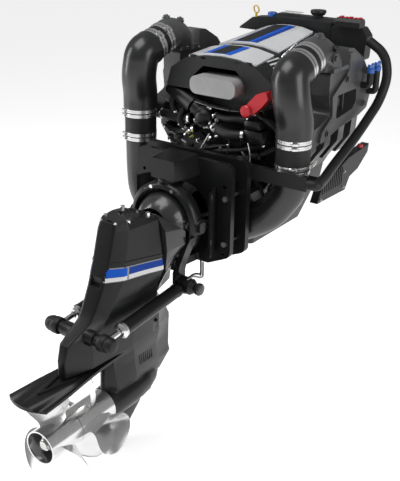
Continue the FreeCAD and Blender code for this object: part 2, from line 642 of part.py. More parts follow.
def trim_aft_pin():
    """Aft anchor pin through the leg, with bushes and end nuts."""
    pin = rod(TRIM_PIN_R, (-TRIM_X - 16, TRIM_AFT_Y, TRIM_AFT_Z), (TRIM_X + 16, TRIM_AFT_Y, TRIM_AFT_Z))
    parts = [pin]
    for side in (-1, 1):
        parts.append(rod(20, (side * 66.3, TRIM_AFT_Y, TRIM_AFT_Z),
                         (side * (TRIM_X - 12 - SEAT), TRIM_AFT_Y, TRIM_AFT_Z)))
        parts.append(rod(18, (side * (TRIM_X + 12 + SEAT), TRIM_AFT_Y, TRIM_AFT_Z),
                         (side * (TRIM_X + 25), TRIM_AFT_Y, TRIM_AFT_Z)))
    return fuse(*parts)


# ================================================================ transom assembly
def transom_plate(half, thickness, y0):
    """Plate across the Y axis, square at the top and tapered at the foot."""
    foot = half * 0.55
    return prism([(-foot, PLATE_LOW), (foot, PLATE_LOW), (half, PLATE_LOW + 44), (half, PLATE_TOP),
                  (-half, PLATE_TOP), (-half, PLATE_LOW + 44)], "y", y0, y0 + thickness, 30)


def transom_hole_points():
    """Open holes that take the boat builder's own through bolts."""
    x, z = TRANSOM_BOLT_X / 2, TRANSOM_BOLT_Z / 2
    return [(x, z), (-x, z), (x, -z), (-x, -z)]


def transom_bolt_points():
    """Studs that hold the two plates together."""
    x, z = TRANSOM_STUD_X / 2, TRANSOM_STUD_Z / 2
    return [(x, z), (-x, z), (x, -z), (-x, -z)]


def gimbal_housing():
    """Outer transom casting: plate, upper and lower swivel arms, and cheeks round the ring's swing."""
    face = -TRANSOM_GAP - FLANGE_T
    flange = transom_plate(PLATE_HALF_W, FLANGE_T, face)
    back = PIVOT_Y - CREST_BACK
    crest = Part.makeLoft([
        outline([(-CREST_HALF, CREST_LOW), (CREST_HALF, CREST_LOW), (CREST_HALF - 2, CREST_TOP - 4),
                 (-CREST_HALF + 2, CREST_TOP - 4)], "y", back, 4),
        outline([(-CREST_HALF - 30, CREST_LOW - 40), (CREST_HALF + 30, CREST_LOW - 40),
                 (CREST_HALF + 10, CREST_TOP), (-CREST_HALF - 10, CREST_TOP)], "y", face, 6)], True, True)
    foot = Part.makeLoft([
        outline([(-FOOT_HALF, FOOT_LOW), (FOOT_HALF, FOOT_LOW), (FOOT_HALF, FOOT_TOP),
                 (-FOOT_HALF, FOOT_TOP)], "y", PIVOT_Y - 20, 4),
        outline([(-FOOT_HALF - 30, PLATE_LOW + 4), (FOOT_HALF + 30, PLATE_LOW + 4),
                 (FOOT_HALF + 20, FOOT_TOP + 30), (-FOOT_HALF - 20, FOOT_TOP + 30)], "y", face, 4)],
        True, True)
    sweep = hypot(RING_OUT_R + 10, RING_BACK) + 5
    wall = tube(sweep + 9, sweep, (0, PIVOT_Y, -118), (0, PIVOT_Y, 118))
    cheeks = wall.common(box(-300, 300, PIVOT_Y + 26, face, -118, 118))
    body = fuse(flange, crest, foot, cheeks)
    cuts = [rod(THROAT_R, (0, face - 1, 0), (0, 1, 0)),
            rod(SWIVEL_PIN_R + RUN_FIT, (0, PIVOT_Y, CREST_LOW - 4), (0, PIVOT_Y, CREST_TOP - 12)),
            rod(SWIVEL_PIN_R + RUN_FIT, (0, PIVOT_Y, FOOT_TOP + 4), (0, PIVOT_Y, FOOT_LOW + 5)),
            rod(sweep, (0, PIVOT_Y, FOOT_TOP), (0, PIVOT_Y, CREST_LOW)).common(
                box(-300, 300, -600, face, -300, 300))]
    for x, z in transom_hole_points() + transom_bolt_points():
        cuts.append(rod(TRANSOM_HOLE_R, (x, face - 1, z), (x, 1, z)))
    return body.cut(cuts)


def inner_transom_plate():
    """Inboard plate that clamps the transom and carries the engine's rear mounts."""
    plate = transom_plate(INNER_PLATE_HALF, INNER_PLATE_T, 0)
    bar = box(196, BAR_END, INNER_PLATE_T, INNER_PLATE_T + 21, HOSE_START_Z - 25, HOSE_START_Z + 25)
    plate = fuse(plate, bar)
    cuts = [rod(THROAT_R - 20, (0, -1, 0), (0, INNER_PLATE_T + 1, 0))]
    for x, z in transom_hole_points() + transom_bolt_points():
        cuts.append(rod(TRANSOM_HOLE_R, (x, -1, z), (x, INNER_PLATE_T + 1, z)))
    return plate.cut(cuts)


def hexagon(x, z, r):
    return [(x + r * cos(k * pi / 3), z + r * sin(k * pi / 3)) for k in range(6)]


def transom_bolts():
    """Through bolts that clamp the boat's transom between the two plates."""
    outer = -TRANSOM_GAP - FLANGE_T
    bolts = []
    for x, z in transom_bolt_points():
        shank = rod(TRANSOM_BOLT_R, (x, outer - 1, z), (x, INNER_PLATE_T + 14, z))
        head = prism(hexagon(x, z, 10), "y", outer - 8, outer)
        nut = prism(hexagon(x, z, 10), "y", INNER_PLATE_T, INNER_PLATE_T + 10)
        bolts.append(fuse(shank, head, nut))
    return bolts


# ================================================================ exhaust system
def exhaust_y_pipe():
    """Two branches that join low on the centre line and leave through the transom plate."""
    r = PIPE_R - 4
    top = (LOWER_HOSE_X, LOWER_HOSE_Y, LOWER_HOSE_END)
    x = LOWER_HOSE_X
    starboard = pipe([top, (x, LOWER_HOSE_Y, 100), (268, 98, 0), (196, 92, -48), (120, 86, -86)], r)
    port_side = pipe([(-x, LOWER_HOSE_Y, LOWER_HOSE_END), (-x, LOWER_HOSE_Y, 60), (-x + 16, 98, -40),
                      (-246, 92, -104), (-130, 86, -112)], r)
    ends = [outline([(-w, low), (w, low), (w, high), (-w, high)], "y", y, 30)
            for w, low, high, y in ((136, -158, -60, INNER_PLATE_T), (120, -152, -66, HOUSING_Y - 6))]
    middle = Part.makeLoft(ends, True, True)
    body = starboard.fuse([port_side, middle]).removeSplitter()
    keep_out = box(-INNER_PLATE_HALF, INNER_PLATE_HALF, -60, INNER_PLATE_T, -300, 60)
    nuts = [rod(14, (bx, 0, bz), (bx, INNER_PLATE_T + 17, bz)) for bx, bz in transom_bolt_points()]
    return largest(body.cut([keep_out, *nuts, rod(FLYWHEEL_R + 1, (0, HOUSING_Y - 1, 0), (0, BLOCK_Y, 0)),
                             rod(COUPLER_R + 1, (0, 0, 0), (0, HOUSING_Y + 1, 0))]))


def lower_hose():
    return tube(HOSE_R, HOSE_R - 6, (LOWER_HOSE_X, LOWER_HOSE_Y, LOWER_HOSE_END),
                (LOWER_HOSE_X, LOWER_HOSE_Y, LOWER_HOSE_TOP))


def exhaust_elbow():
    """Large moulded elbow from the riser hose down to the lower hose."""
    x, low = EXHAUST_X, LOWER_HOSE_X
    return pipe([UPPER_HOSE_AFT, (x, 93, 500.9), (low - 8, 88, 420), (low, LOWER_HOSE_Y, 346),
                 (low, LOWER_HOSE_Y, LOWER_HOSE_TOP)], ELBOW_R)


def upper_hose():
    """Straight rubber hose between elbow and riser, a hair shorter than their gap."""
    aft, fore = V(*UPPER_HOSE_AFT), V(*UPPER_HOSE_FORE)
    slack = (fore - aft).normalize() * 0.2
    return tube(HOSE_R, HOSE_R - 6, aft + slack, fore - slack)


def riser_elbow():
    """Cast riser that turns the exhaust from the manifold back into the hose."""
    x = EXHAUST_X
    body = pipe([UPPER_HOSE_FORE, (x, 268, 554.9), (x + 4, 326, 524), (x + 10, 346, 450)], PIPE_R - 3)
    body = body.cut(box(0, 500, 200, 500, 300, RISER_SEAT))
    flange = box(MANIFOLD_IN - 16, MANIFOLD_OUT + 4, 284, 400, RISER_SEAT, RISER_SEAT + 14)
    return body.fuse(flange).removeSplitter()


def exhaust_manifold():
    """Water-jacketed manifold: a log along the head, a dome ahead of the riser and a loop between them."""
    side = [(178, 266), (186, 230), (380, 264), (560, 284), (606, 298), (632, 360), (608, 440), (548, 504),
            (462, 548), (404, 552), (401, RISER_SEAT), (290, RISER_SEAT), (292, 400), (312, 336), (240, 308),
            (180, 298)]
    slab = prism(side, "x", MANIFOLD_IN, MANIFOLD_OUT - MANIFOLD_STEP, 18)
    face = [(220, 240), (378, 276), (556, 296), (596, 308), (618, 360), (596, 434), (541, 493), (457, 534),
            (416, 538), (416, 470), (300, 400), (310, 328), (240, 288)]
    slab = slab.fuse(prism(face, "x", MANIFOLD_OUT - MANIFOLD_STEP, MANIFOLD_OUT, 12))
    slab = slab.cut(box(MANIFOLD_IN - 1, MANIFOLD_OUT + 1, 270, 420, RISER_SEAT, 700))
    window = [(338, 312), (470, 326), (494, 350), (492, 398), (340, 398)]
    slab = slab.cut(prism(window, "x", MANIFOLD_IN - 1, MANIFOLD_OUT + 1, 12))
    ribs = [box(MANIFOLD_OUT - 34, MANIFOLD_OUT - 22, y - 4, y + 4, 306, 404) for y in (374, 432)]
    runners = []
    step = HEAD_H / sqrt(2)
    low, high = DECK_LOW
    for k in range(4):
        y = BLOCK_Y + 68 + k * 108
        runners.append(prism([(low + 0.3 * step, high + 0.3 * step), (low + 0.85 * step, high + 0.85 * step),
                              (MANIFOLD_IN + 6, 300), (MANIFOLD_IN + 56, 300), (MANIFOLD_IN + 50, 200),
                              (low + 0.3 * step + 44, high + 0.3 * step - 8)], "y", y - 24, y + 24))
    body = slab.fuse(ribs + runners)
    return body.cut([cylinder_head(), valve_cover()]).removeSplitter()


# ================================================================ engine
def head_outline():
    """Cross-section of the starboard cylinder head, square to its deck."""
    d = HEAD_H / sqrt(2)
    (a, b), (c, e) = DECK_LOW, DECK_HIGH
    return [(a, b), (a + d, b + d), (c + d, e + d), (c, e)]


def flywheel_housing():
    """Flywheel housing with the coupling tube and the rear mounting arms."""
    drum = revolve([(HOUSING_Y, 70), (HOUSING_Y, FLYWHEEL_R - 10), (HOUSING_Y + 10, FLYWHEEL_R),
                    (BLOCK_Y - 12, FLYWHEEL_R), (BLOCK_Y, FLYWHEEL_R - 14), (BLOCK_Y, 70)], "y", (0, 0, 0))
    neck = tube(COUPLER_R, 44, (0, INNER_PLATE_T + 10, 0), (0, HOUSING_Y + 8, 0))
    web = tube(84, COUPLER_R - 2, (0, HOUSING_Y, 0), (0, HOUSING_Y + 12, 0))
    body = drum.fuse([neck, web])
    for side in (-1, 1):
        x = side * 172
        arm = box(x - 16, x + 16, INNER_PLATE_T, HOUSING_Y + 20, 22, 60)
        body = body.fuse(arm)
    return body.removeSplitter()


def engine_block():
    """V8 block: skirt, two banks at ninety degrees and the valley between them."""
    half = [(150, SUMP_TOP), (166, 20), DECK_LOW, DECK_HIGH, (45, 160)]
    return prism(mirrored(half), "y", BLOCK_Y, BLOCK_END)


def cylinder_head():
    return prism(head_outline(), "y", BLOCK_Y + 8, BLOCK_END - 8)


def valve_cover():
    """Pressed cover along the top of a head, narrower than the head and round on its upper edges."""
    head = [V(x, 0, z) for x, z in head_outline()]
    across = (head[2] - head[1]).normalize()
    out = V(1, 0, 1).normalize()
    a, b = head[1] + across * 12, head[2] - across * 12
    c, d = b + out * VALVE_COVER_H - across * 12, a + out * VALVE_COVER_H + across * 12
    return prism([(p.x, p.z) for p in (a, b, c, d)], "y", BLOCK_Y + 20, BLOCK_END - 20)


def oil_pan():
    """Sump with a deep forward well."""
    low = outline([(-104, BLOCK_Y + 50), (104, BLOCK_Y + 50), (104, BLOCK_END - 60), (-104, BLOCK_END - 60)],
                  "z", SUMP_LOW, 20)
    high = outline([(-140, BLOCK_Y + 6), (140, BLOCK_Y + 6), (140, BLOCK_END - 6), (-140, BLOCK_END - 6)],
                   "z", SUMP_TOP - 16, 20)
    rim = box(-150, 150, BLOCK_Y, BLOCK_END, SUMP_TOP - 16, SUMP_TOP)
    return Part.makeLoft([low, high], True, True).fuse(rim).removeSplitter()


def intake_plenum():
    half = [(40, 160), (95, 214), (108, 300), (192, 352), (192, PLENUM_TOP - 16), (176, PLENUM_TOP)]
    return prism(mirrored(half), "y", BLOCK_Y, BLOCK_END - 40)


def flame_arrestor():
    """Rounded canister at the throttle inlet."""
    return prism([(-97, 384), (97, 384), (97, 450), (-97, 450)], "y", 96, BLOCK_Y, 28)


def cover_half(y, lift=0.0):
    """Half section of the engine cover at a station along the engine, raised by lift."""
    t = (y - COVER_REAR) / (COVER_FRONT - COVER_REAR)
    rear = [(0, 518), (70, 514), (150, 498), (214, 456), (232, 396)]
    front = [(0, 568), (52, 565), (106, 552), (196, 512), (236, 430)]
    points = []
    for (a, b), (c, d) in zip(rear, front):
        x, z = a + t * (c - a), b + t * (d - b)
        points.append((x * (1 + lift / 240), z + lift))
    return points


def cover_skin(y0, y1, lift, low):
    """Solid under the cover surface between two stations, closed at level low."""
    wires = []
    for y in (y0, y1):
        half = cover_half(y, lift)
        ring = [(half[-1][0], low)] + half[::-1] + [(-x, z) for x, z in half[1:]] + [(-half[-1][0], low)]
        wires.append(outline(ring, "y", y))
    return Part.makeLoft(wires, True, True)


def engine_cover():
    """Styled cover: an arched shell, open below, with a shroud over the inlet at its aft end."""
    outer = cover_skin(COVER_REAR, COVER_FRONT, 0, 380)
    inner = cover_skin(COVER_REAR + COVER_WALL, COVER_FRONT - COVER_WALL, -COVER_WALL, 370)
    mouth = prism([(-112, 370), (112, 370), (112, 440), (70, 478), (-70, 478), (-112, 440)],
                  "y", COVER_REAR - 1, COVER_REAR + COVER_WALL + 1, 10)
    shell = outer.cut([inner, mouth, box(-300, 300, 0, 900, 360, 386)])
    posts = []
    for x in (-150, 150):
        for y in (COVER_REAR + 110, COVER_FRONT - 90):
            posts.append(rod(10, (x, y, PLENUM_TOP), (x, y, 600)).common(outer))
    return shell.fuse(posts).removeSplitter()


def cover_panel(plan):
    """Bright panel that follows the crown of the cover inside its plan outline."""
    y0 = min(y for _, y in plan)
    y1 = max(y for _, y in plan)
    skin = cover_skin(y0, y1, PANEL_T, 380).cut(cover_skin(y0 - 1, y1 + 1, 0, 360))
    return skin.common(prism(plan, "z", 400, 620, 8))


PANEL_T = 5.0
REAR_PANEL = [(-147, 152), (147, 152), (138, 292), (-138, 292)]
FRONT_PANEL = [(-134, 332), (134, 332), (106, 640), (-106, 640)]


def front_cover():
    """Timing cover and accessory plate across the front of the engine."""
    plate = prism(mirrored([(120, -64), (150, 60), (205, 200), (230, 330), (200, 500), (160, 524)]),
                  "y", BLOCK_END, BLOCK_END + 14)
    snout = revolve([(BLOCK_END, 0), (BLOCK_END, 120), (BLOCK_END + 34, 96), (BLOCK_END + 34, 0)], "y",
                    (0, 0, 0))
    pump = rod(70, (0, BLOCK_END, 190), (0, BLOCK_END + 34, 190))
    bore = rod(CRANK_NOSE_R + RUN_FIT, (0, BLOCK_END + 12, 0), (0, BLOCK_END + 60, 0))
    return fuse(plate, snout, pump).cut(bore)


def heat_exchanger():
    """Coolant tank and tube bundle across the front, with end caps and the filler neck."""
    y, z = BLOCK_END + 8, 566
    bundle = prism([(-256, z - 36), (-250, z - 28), (-192, z + 14), (-106, z + 22), (-70, z + 22),
                    (-70, z - 38)], "y", y - 32, y + 36, 7)
    tank = prism([(y - 36, z - 42), (y + 42, z - 42), (y + 42, z + 26), (y + 24, z + 38), (y - 20, z + 38),
                  (y - 36, z + 26)], "x", -84, 168)
    neck = rod(20, (COOLANT_CAP_X, y, z + 30), (COOLANT_CAP_X, y, z + 46))
    return fuse(bundle, tank, neck)


COOLANT_CAP_X = 92.0


def coolant_cap():
    """Mushroom cap that twists on the filler neck."""
    y, z = BLOCK_END + 8, 566 + 46 + SEAT
    return revolve([(0, 0), (0, 26), (10, 32), (18, 30), (20, 0)], "z", (COOLANT_CAP_X, y, z))


def alternator():
    """Alternator and its guard, high on the starboard front."""
    body = prism([(170, 462), (316, 462), (322, 556), (298, 586), (170, 586)],
                 "y", COVER_FRONT + 2, COVER_FRONT + 56, 12)
    x, z = ALTERNATOR_SPOT
    bore = rod(ALTERNATOR_SHAFT_R + RUN_FIT, (x, COVER_FRONT + 28, z), (x, COVER_FRONT + 80, z))
    return body.cut([front_cover(), bore])


def fuse_box():
    return prism([(640, 586), (690, 586), (690, 606), (680, 618), (650, 618), (640, 606)], "x", 196, 298)


def starter_motor():
    body = rod(36, (214, 200, -32), (214, 372, -32))
    solenoid = rod(20, (214, 218, 18), (214, 318, 18))
    bracket = box(163.5, 214, 204, 224, -56, 4)
    link = box(204, 224, 230, 306, -10, 10)
    return fuse(body, solenoid, bracket, link)


def control_box():
    """Electrical box on a bracket along the starboard side."""
    side = [(196, 34), (420, 26), (452, 70), (520, 84), (600, 132), (606, 166), (430, 152), (230, 92)]
    case = prism(side, "x", 366, 398)
    arm = box(166, 366, 330, 400, 40, 60)
    skirt = prism([(150, SUMP_TOP), (166, 20), DECK_LOW, (0, 216), (0, SUMP_TOP)], "y", 300, 420)
    return fuse(case, arm).cut(skirt)


def raw_water_hose():
    """Hose from the transom fitting round the starboard side and up to the cooler."""
    route = [(BAR_END, HOSE_START_Y, HOSE_START_Z), (BAR_END + 34, HOSE_START_Y, HOSE_START_Z),
             (452, 120, 158), (420, 260, 170), (412, 440, 228), (416, 620, 330), (424, 660, 420),
             (400, 668, 500), (330, 672, 540)]
    return pipe(route, 18)


def flush_hoses():
    """Two drain hoses that leave the starboard manifold and turn up to their plugs."""
    return [pipe([(MANIFOLD_OUT, y, z), (PLUG_X, y, z), (PLUG_X, y, PLUG_BOTTOM)], 12, 22)
            for y, z in PLUG_SPOTS]


def water_plugs():
    """Wing plugs in the upper ends of the drain hoses."""
    plugs = []
    for y, _ in PLUG_SPOTS:
        stem = revolve([(0, 0), (0, 14), (14, 14), (18, 10), (18, 0)], "z", (PLUG_X, y, PLUG_BOTTOM))
        wing = prism([(y - 22, PLUG_BOTTOM + 36), (y - 16, PLUG_BOTTOM + 14), (y + 16, PLUG_BOTTOM + 14),
                      (y + 22, PLUG_BOTTOM + 36), (y + 8, PLUG_BOTTOM + 28), (y - 8, PLUG_BOTTOM + 28)],
                     "x", PLUG_X - 5, PLUG_X + 5, 2.5)
        plugs.append(fuse(stem, wing))
    return plugs


def oil_filler():
    """Fuel and oil service cap: a round knob and the flat moulded body that rises from it."""
    knob = revolve([(98, 0), (98, 18), (102, 22), (122, 22), (126, 18), (126, 0)], "y", (140, 0, 350))
    body = prism([(126, 338), (163, 337), (202, 375), (225, 403), (215, 430), (176, 414), (132, 366)],
                 "y", 110, 146, 8)
    return largest(fuse(knob, body).cut(engine_cover()))


def pulley(r, shaft_r, shaft_aft, centre):
    """Grooved belt pulley on a stepped hub, with the shaft end that turns in its housing."""
    w, hub = PULLEY_W, shaft_r + 8
    rim = [(shaft_aft - PULLEY_Y, 0), (shaft_aft - PULLEY_Y, shaft_r), (0, shaft_r), (0, hub),
           (w * 0.3, hub), (w * 0.3, r - 9), (0, r - 9), (0, r), (w * 0.2, r), (w * 0.35, r - 5),
           (w * 0.5, r), (w * 0.65, r - 5), (w * 0.8, r), (w, r), (w, r - 9), (w * 0.7, r - 9),
           (w * 0.7, hub), (w, hub), (w, 0)]
    return revolve(rim, "y", (centre[0], PULLEY_Y, centre[1]))


def crank_pulley():
    return pulley(CRANK_PULLEY_R, CRANK_NOSE_R, BLOCK_END + 16, (0, 0))


def alternator_pulley():
    return pulley(ALTERNATOR_PULLEY_R, ALTERNATOR_SHAFT_R, COVER_FRONT + 32, ALTERNATOR_SPOT)


def main_engine():
    export("inner_transom_plate", inner_transom_plate())
    export("transom_bolts", *transom_bolts())
    export("exhaust_y_pipe", exhaust_y_pipe())
    for name, shape in (("lower_hose", lower_hose()), ("exhaust_elbow", exhaust_elbow()),
                        ("upper_hose", upper_hose()), ("riser_elbow", riser_elbow()),
                        ("exhaust_manifold", exhaust_manifold()), ("cylinder_head", cylinder_head()),
                        ("valve_cover", valve_cover())):
        export(name + "_starboard", shape)
        export(name + "_port", port(shape))
    export("flywheel_housing", flywheel_housing())
    export("engine_block", engine_block())
    export("oil_pan", oil_pan())
    export("intake_plenum", intake_plenum())
    export("flame_arrestor", flame_arrestor())
    export("engine_cover", engine_cover())
    export("cover_panels", cover_panel(REAR_PANEL), cover_panel(FRONT_PANEL))
    export("front_cover", front_cover())
    export("heat_exchanger", heat_exchanger())
    export("coolant_cap", coolant_cap())
    export("alternator", alternator())
    export("fuse_box", fuse_box())
    export("starter_motor", starter_motor())
    export("control_box", control_box())
    export("raw_water_hose", raw_water_hose())
    export("flush_hoses", *flush_hoses())
    export("water_plugs", *water_plugs())
    export("oil_filler", oil_filler())
    export("crank_pulley", crank_pulley())
    export("alternator_pulley", alternator_pulley())


def main_drive():
    export("gimbal_ring", gimbal_ring())
    export("swivel_pins", *swivel_pins())
    export("ring_bolts", *ring_bolts())
    export("hinge_pins", *hinge_pins())
    export("bell_housing", bell_housing())
    export("driveshaft_housing", driveshaft_housing())
    export("top_cover", top_cover())
    export("cover_bolts", *cover_bolts())
    export("gearcase", gearcase())
    export("front_propeller", front_propeller())
    export("rear_propeller", rear_propeller())
    export("outer_prop_shaft", outer_prop_shaft())
    export("inner_prop_shaft", inner_prop_shaft())
    export("propeller_nut", propeller_nut())
    export("trim_barrel_starboard", trim_barrel())
    export("trim_barrel_port", port(trim_barrel()))
    export("trim_gland_starboard", trim_gland())
    export("trim_gland_port", port(trim_gland()))
    export("trim_rod_starboard", trim_rod())
    export("trim_rod_port", port(trim_rod()))
    export("trim_front_pins", *trim_front_pin())
    export("trim_aft_pin", trim_aft_pin())
    export("gimbal_housing", gimbal_housing())


main_drive()
main_engine()
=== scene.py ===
# %% [markdown]
# # An inboard stern drive
# A stern drive is a car-sized V8 inside the boat and a steerable, tilting leg outside it, with the
# boat's transom clamped between them. The solid parts come from the CAD frame, already in place and
# already split into the bodies that move. This notebook gives every part its finish and adds what is
# too small or too soft for the CAD: hose clamps, bolts, plugs, hoses, wires and stripes.

# %% Load the frame
import bmesh
import bpy
import json
import math
import random
from mathutils import Euler, Matrix, Vector
from mathutils.bvhtree import BVHTree


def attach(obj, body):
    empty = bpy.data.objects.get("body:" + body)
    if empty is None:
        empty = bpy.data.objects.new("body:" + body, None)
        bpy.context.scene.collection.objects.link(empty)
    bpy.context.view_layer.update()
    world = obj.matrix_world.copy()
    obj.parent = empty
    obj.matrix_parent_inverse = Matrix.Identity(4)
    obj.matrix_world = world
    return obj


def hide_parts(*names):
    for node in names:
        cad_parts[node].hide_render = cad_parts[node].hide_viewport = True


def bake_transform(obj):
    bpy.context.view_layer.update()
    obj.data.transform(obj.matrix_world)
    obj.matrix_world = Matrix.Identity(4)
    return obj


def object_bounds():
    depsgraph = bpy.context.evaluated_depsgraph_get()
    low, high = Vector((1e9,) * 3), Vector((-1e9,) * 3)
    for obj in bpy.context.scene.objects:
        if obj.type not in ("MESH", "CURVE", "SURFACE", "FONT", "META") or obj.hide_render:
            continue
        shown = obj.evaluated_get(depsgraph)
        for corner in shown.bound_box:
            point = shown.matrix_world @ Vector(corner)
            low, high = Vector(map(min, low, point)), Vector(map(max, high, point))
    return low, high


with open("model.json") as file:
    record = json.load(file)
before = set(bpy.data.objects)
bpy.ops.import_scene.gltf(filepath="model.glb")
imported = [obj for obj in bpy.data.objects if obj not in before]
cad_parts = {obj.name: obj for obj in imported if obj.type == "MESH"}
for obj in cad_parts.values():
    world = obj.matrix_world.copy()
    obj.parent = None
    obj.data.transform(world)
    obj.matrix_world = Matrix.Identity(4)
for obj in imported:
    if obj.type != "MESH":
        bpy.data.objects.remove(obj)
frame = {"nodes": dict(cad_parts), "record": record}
cad_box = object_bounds()
nodes = frame["nodes"]
owner = {}
for body_name, members in frame["record"]["behaviour"]["bodies"].items():
    for member in members:
        owner[member] = body_name
MM = 0.001
ROOT = "transom_and_engine"
SIDES = ((1, "starboard"), (-1, "port"))
random.seed(7)

# %% [markdown]
# ## Finishes
# Almost everything on a stern drive is black, so the finishes differ by gloss and grain more than by
# colour. Each one is a small node tree: a Principled shader whose base colour and roughness are
# varied by noise on Object coordinates, and a fine bump where the real surface is cast or moulded.
# Object coordinates are used because they stay with the part when it moves.


# %% One function that builds a finish
PATCHES_PER_M = 14.0
DARK_PATCH, LIGHT_PATCH = 0.35, 0.68
COAT_ROUGH = 0.12
GRAIN_DEPTH_M = 0.0006


def finish(name, colour, rough, metal=0.0, grain=0.0, grain_size=900.0, mottle=0.12, spread=0.06,
           coat=0.0, shine=0.5):
    """Principled material with mottled colour, uneven roughness and an optional cast grain."""
    material = bpy.data.materials.new(name)
    material.use_nodes = True
    tree = material.node_tree
    shader = tree.nodes["Principled BSDF"]
    shader.inputs["Metallic"].default_value = metal
    shader.inputs["Coat Weight"].default_value = coat
    shader.inputs["Specular IOR Level"].default_value = shine
    shader.inputs["Coat Roughness"].default_value = COAT_ROUGH
    place = tree.nodes.new("ShaderNodeTexCoord")
    noise = tree.nodes.new("ShaderNodeTexNoise")
    noise.inputs["Scale"].default_value = PATCHES_PER_M
    noise.inputs["Detail"].default_value = 5.0
    tree.links.new(place.outputs["Object"], noise.inputs["Vector"])
    ramp = tree.nodes.new("ShaderNodeValToRGB")
    dark = [c * (1 - mottle) for c in colour]
    light = [min(1.0, c * (1 + mottle)) for c in colour]
    ramp.color_ramp.elements[0].position = DARK_PATCH
    ramp.color_ramp.elements[0].color = (*dark, 1)
    ramp.color_ramp.elements[1].position = LIGHT_PATCH
    ramp.color_ramp.elements[1].color = (*light, 1)
    tree.links.new(noise.outputs["Fac"], ramp.inputs["Fac"])
    tree.links.new(ramp.outputs["Color"], shader.inputs["Base Color"])
    span = tree.nodes.new("ShaderNodeMapRange")
    span.inputs["To Min"].default_value = max(0.02, rough - spread)
    span.inputs["To Max"].default_value = min(1.0, rough + spread)
    tree.links.new(noise.outputs["Fac"], span.inputs["Value"])
    tree.links.new(span.outputs["Result"], shader.inputs["Roughness"])
    if grain > 0:
        fine = tree.nodes.new("ShaderNodeTexNoise")
        fine.inputs["Scale"].default_value = grain_size
        fine.inputs["Detail"].default_value = 3.0
        tree.links.new(place.outputs["Object"], fine.inputs["Vector"])
        bump = tree.nodes.new("ShaderNodeBump")
        bump.inputs["Strength"].default_value = grain
        bump.inputs["Distance"].default_value = GRAIN_DEPTH_M
        tree.links.new(fine.outputs["Fac"], bump.inputs["Height"])
        tree.links.new(bump.outputs["Normal"], shader.inputs["Normal"])
    return material


# %% [markdown]
# The palette starts with the blacks and greys, then has the metals and the few colours of the panels,
# plugs, stripes and caps.

# %% The palette
PAINT_BLACK = finish("satin_black_paint", (0.010, 0.0103, 0.011), 0.30, grain=0.10, shine=0.30,
                     spread=0.02)
GLOSS_SHELL = finish("gloss_black_shell", (0.030, 0.030, 0.031), 0.24, grain=0.03, coat=0.3,
                     spread=0.01)
ENGINE_BLACK = finish("engine_black_enamel", (0.009, 0.009, 0.010), 0.36, grain=0.35,
                      grain_size=420, shine=0.35)
PIPE_BLACK = finish("exhaust_pipe_black", (0.016, 0.0165, 0.017), 0.28, grain=0.10,
                    grain_size=700, mottle=0.05, spread=0.015, shine=0.6)
MANIFOLD_GREY = finish("cast_manifold_grey", (0.080, 0.081, 0.084), 0.36, metal=0.2, grain=0.45,
                       grain_size=520, mottle=0.16)
MOULDED_BLACK = finish("moulded_black_plastic", (0.012, 0.0125, 0.0135), 0.40, grain=0.30,
                       grain_size=1300, shine=0.35)
HOSE_BLACK = finish("hose_rubber", (0.011, 0.011, 0.012), 0.50, grain=0.15, grain_size=260, shine=0.35)
PANEL_SILVER = finish("panel_silver", (0.84, 0.85, 0.87), 0.24, metal=0.1, coat=0.4, mottle=0.03)
STAINLESS = finish("polished_stainless", (0.80, 0.80, 0.80), 0.20, metal=0.9, mottle=0.04, spread=0.04)
CHROME_ROD = finish("chrome_rod", (0.86, 0.86, 0.87), 0.07, metal=1.0, mottle=0.02, spread=0.02)
CLAMP_STEEL = finish("clamp_steel", (0.80, 0.80, 0.80), 0.26, metal=1.0, mottle=0.08)
ZINC = finish("zinc_plated_steel", (0.62, 0.62, 0.58), 0.34, metal=1.0, mottle=0.12)
FITTING_YELLOW = finish("yellow_passivated_brass", (0.66, 0.58, 0.16), 0.30, metal=1.0, mottle=0.15)
RED_PLASTIC = finish("red_plastic", (0.66, 0.018, 0.030), 0.34, coat=0.2, mottle=0.08)
BLUE_PLASTIC = finish("blue_plastic", (0.03, 0.13, 0.50), 0.34, coat=0.2, mottle=0.06)
DECAL_BLUE = finish("decal_blue", (0.006, 0.11, 0.62), 0.45, mottle=0.05, shine=0.2)
DECAL_DARK_BLUE = finish("decal_dark_blue", (0.004, 0.055, 0.36), 0.45, mottle=0.05, shine=0.2)
# White with two uses: the leg decals, and the painted highlights along the engine cover's louvre slots.
WHITE_DECAL_AND_HIGHLIGHT = finish("white_decal_and_painted_highlight", (0.86, 0.87, 0.88), 0.4, mottle=0.02)
CANISTER_GREY = finish("canister_grey", (0.42, 0.42, 0.42), 0.5, grain=0.4, grain_size=700, mottle=0.1)
FRAME_GREY = finish("panel_frame_grey", (0.30, 0.30, 0.31), 0.35, coat=0.3, mottle=0.03)
LINE_GREY = finish("hydraulic_line_grey", (0.42, 0.42, 0.42), 0.40, mottle=0.05)
DIPSTICK_YELLOW = finish("dipstick_yellow", (0.75, 0.50, 0.02), 0.36, coat=0.2)
# Flat black with two uses: painted shade in the gearcase inlet slots and the alternator vents, and the
# black insets of the cover panels, which are black themselves.
SHADE_AND_INSET_BLACK = finish("painted_shade_and_black_inset", (0.010, 0.010, 0.011), 0.7)
print("finishes:", len(bpy.data.materials))

# %% [markdown]
# Each CAD part gets one finish, looked up by its name without its side.

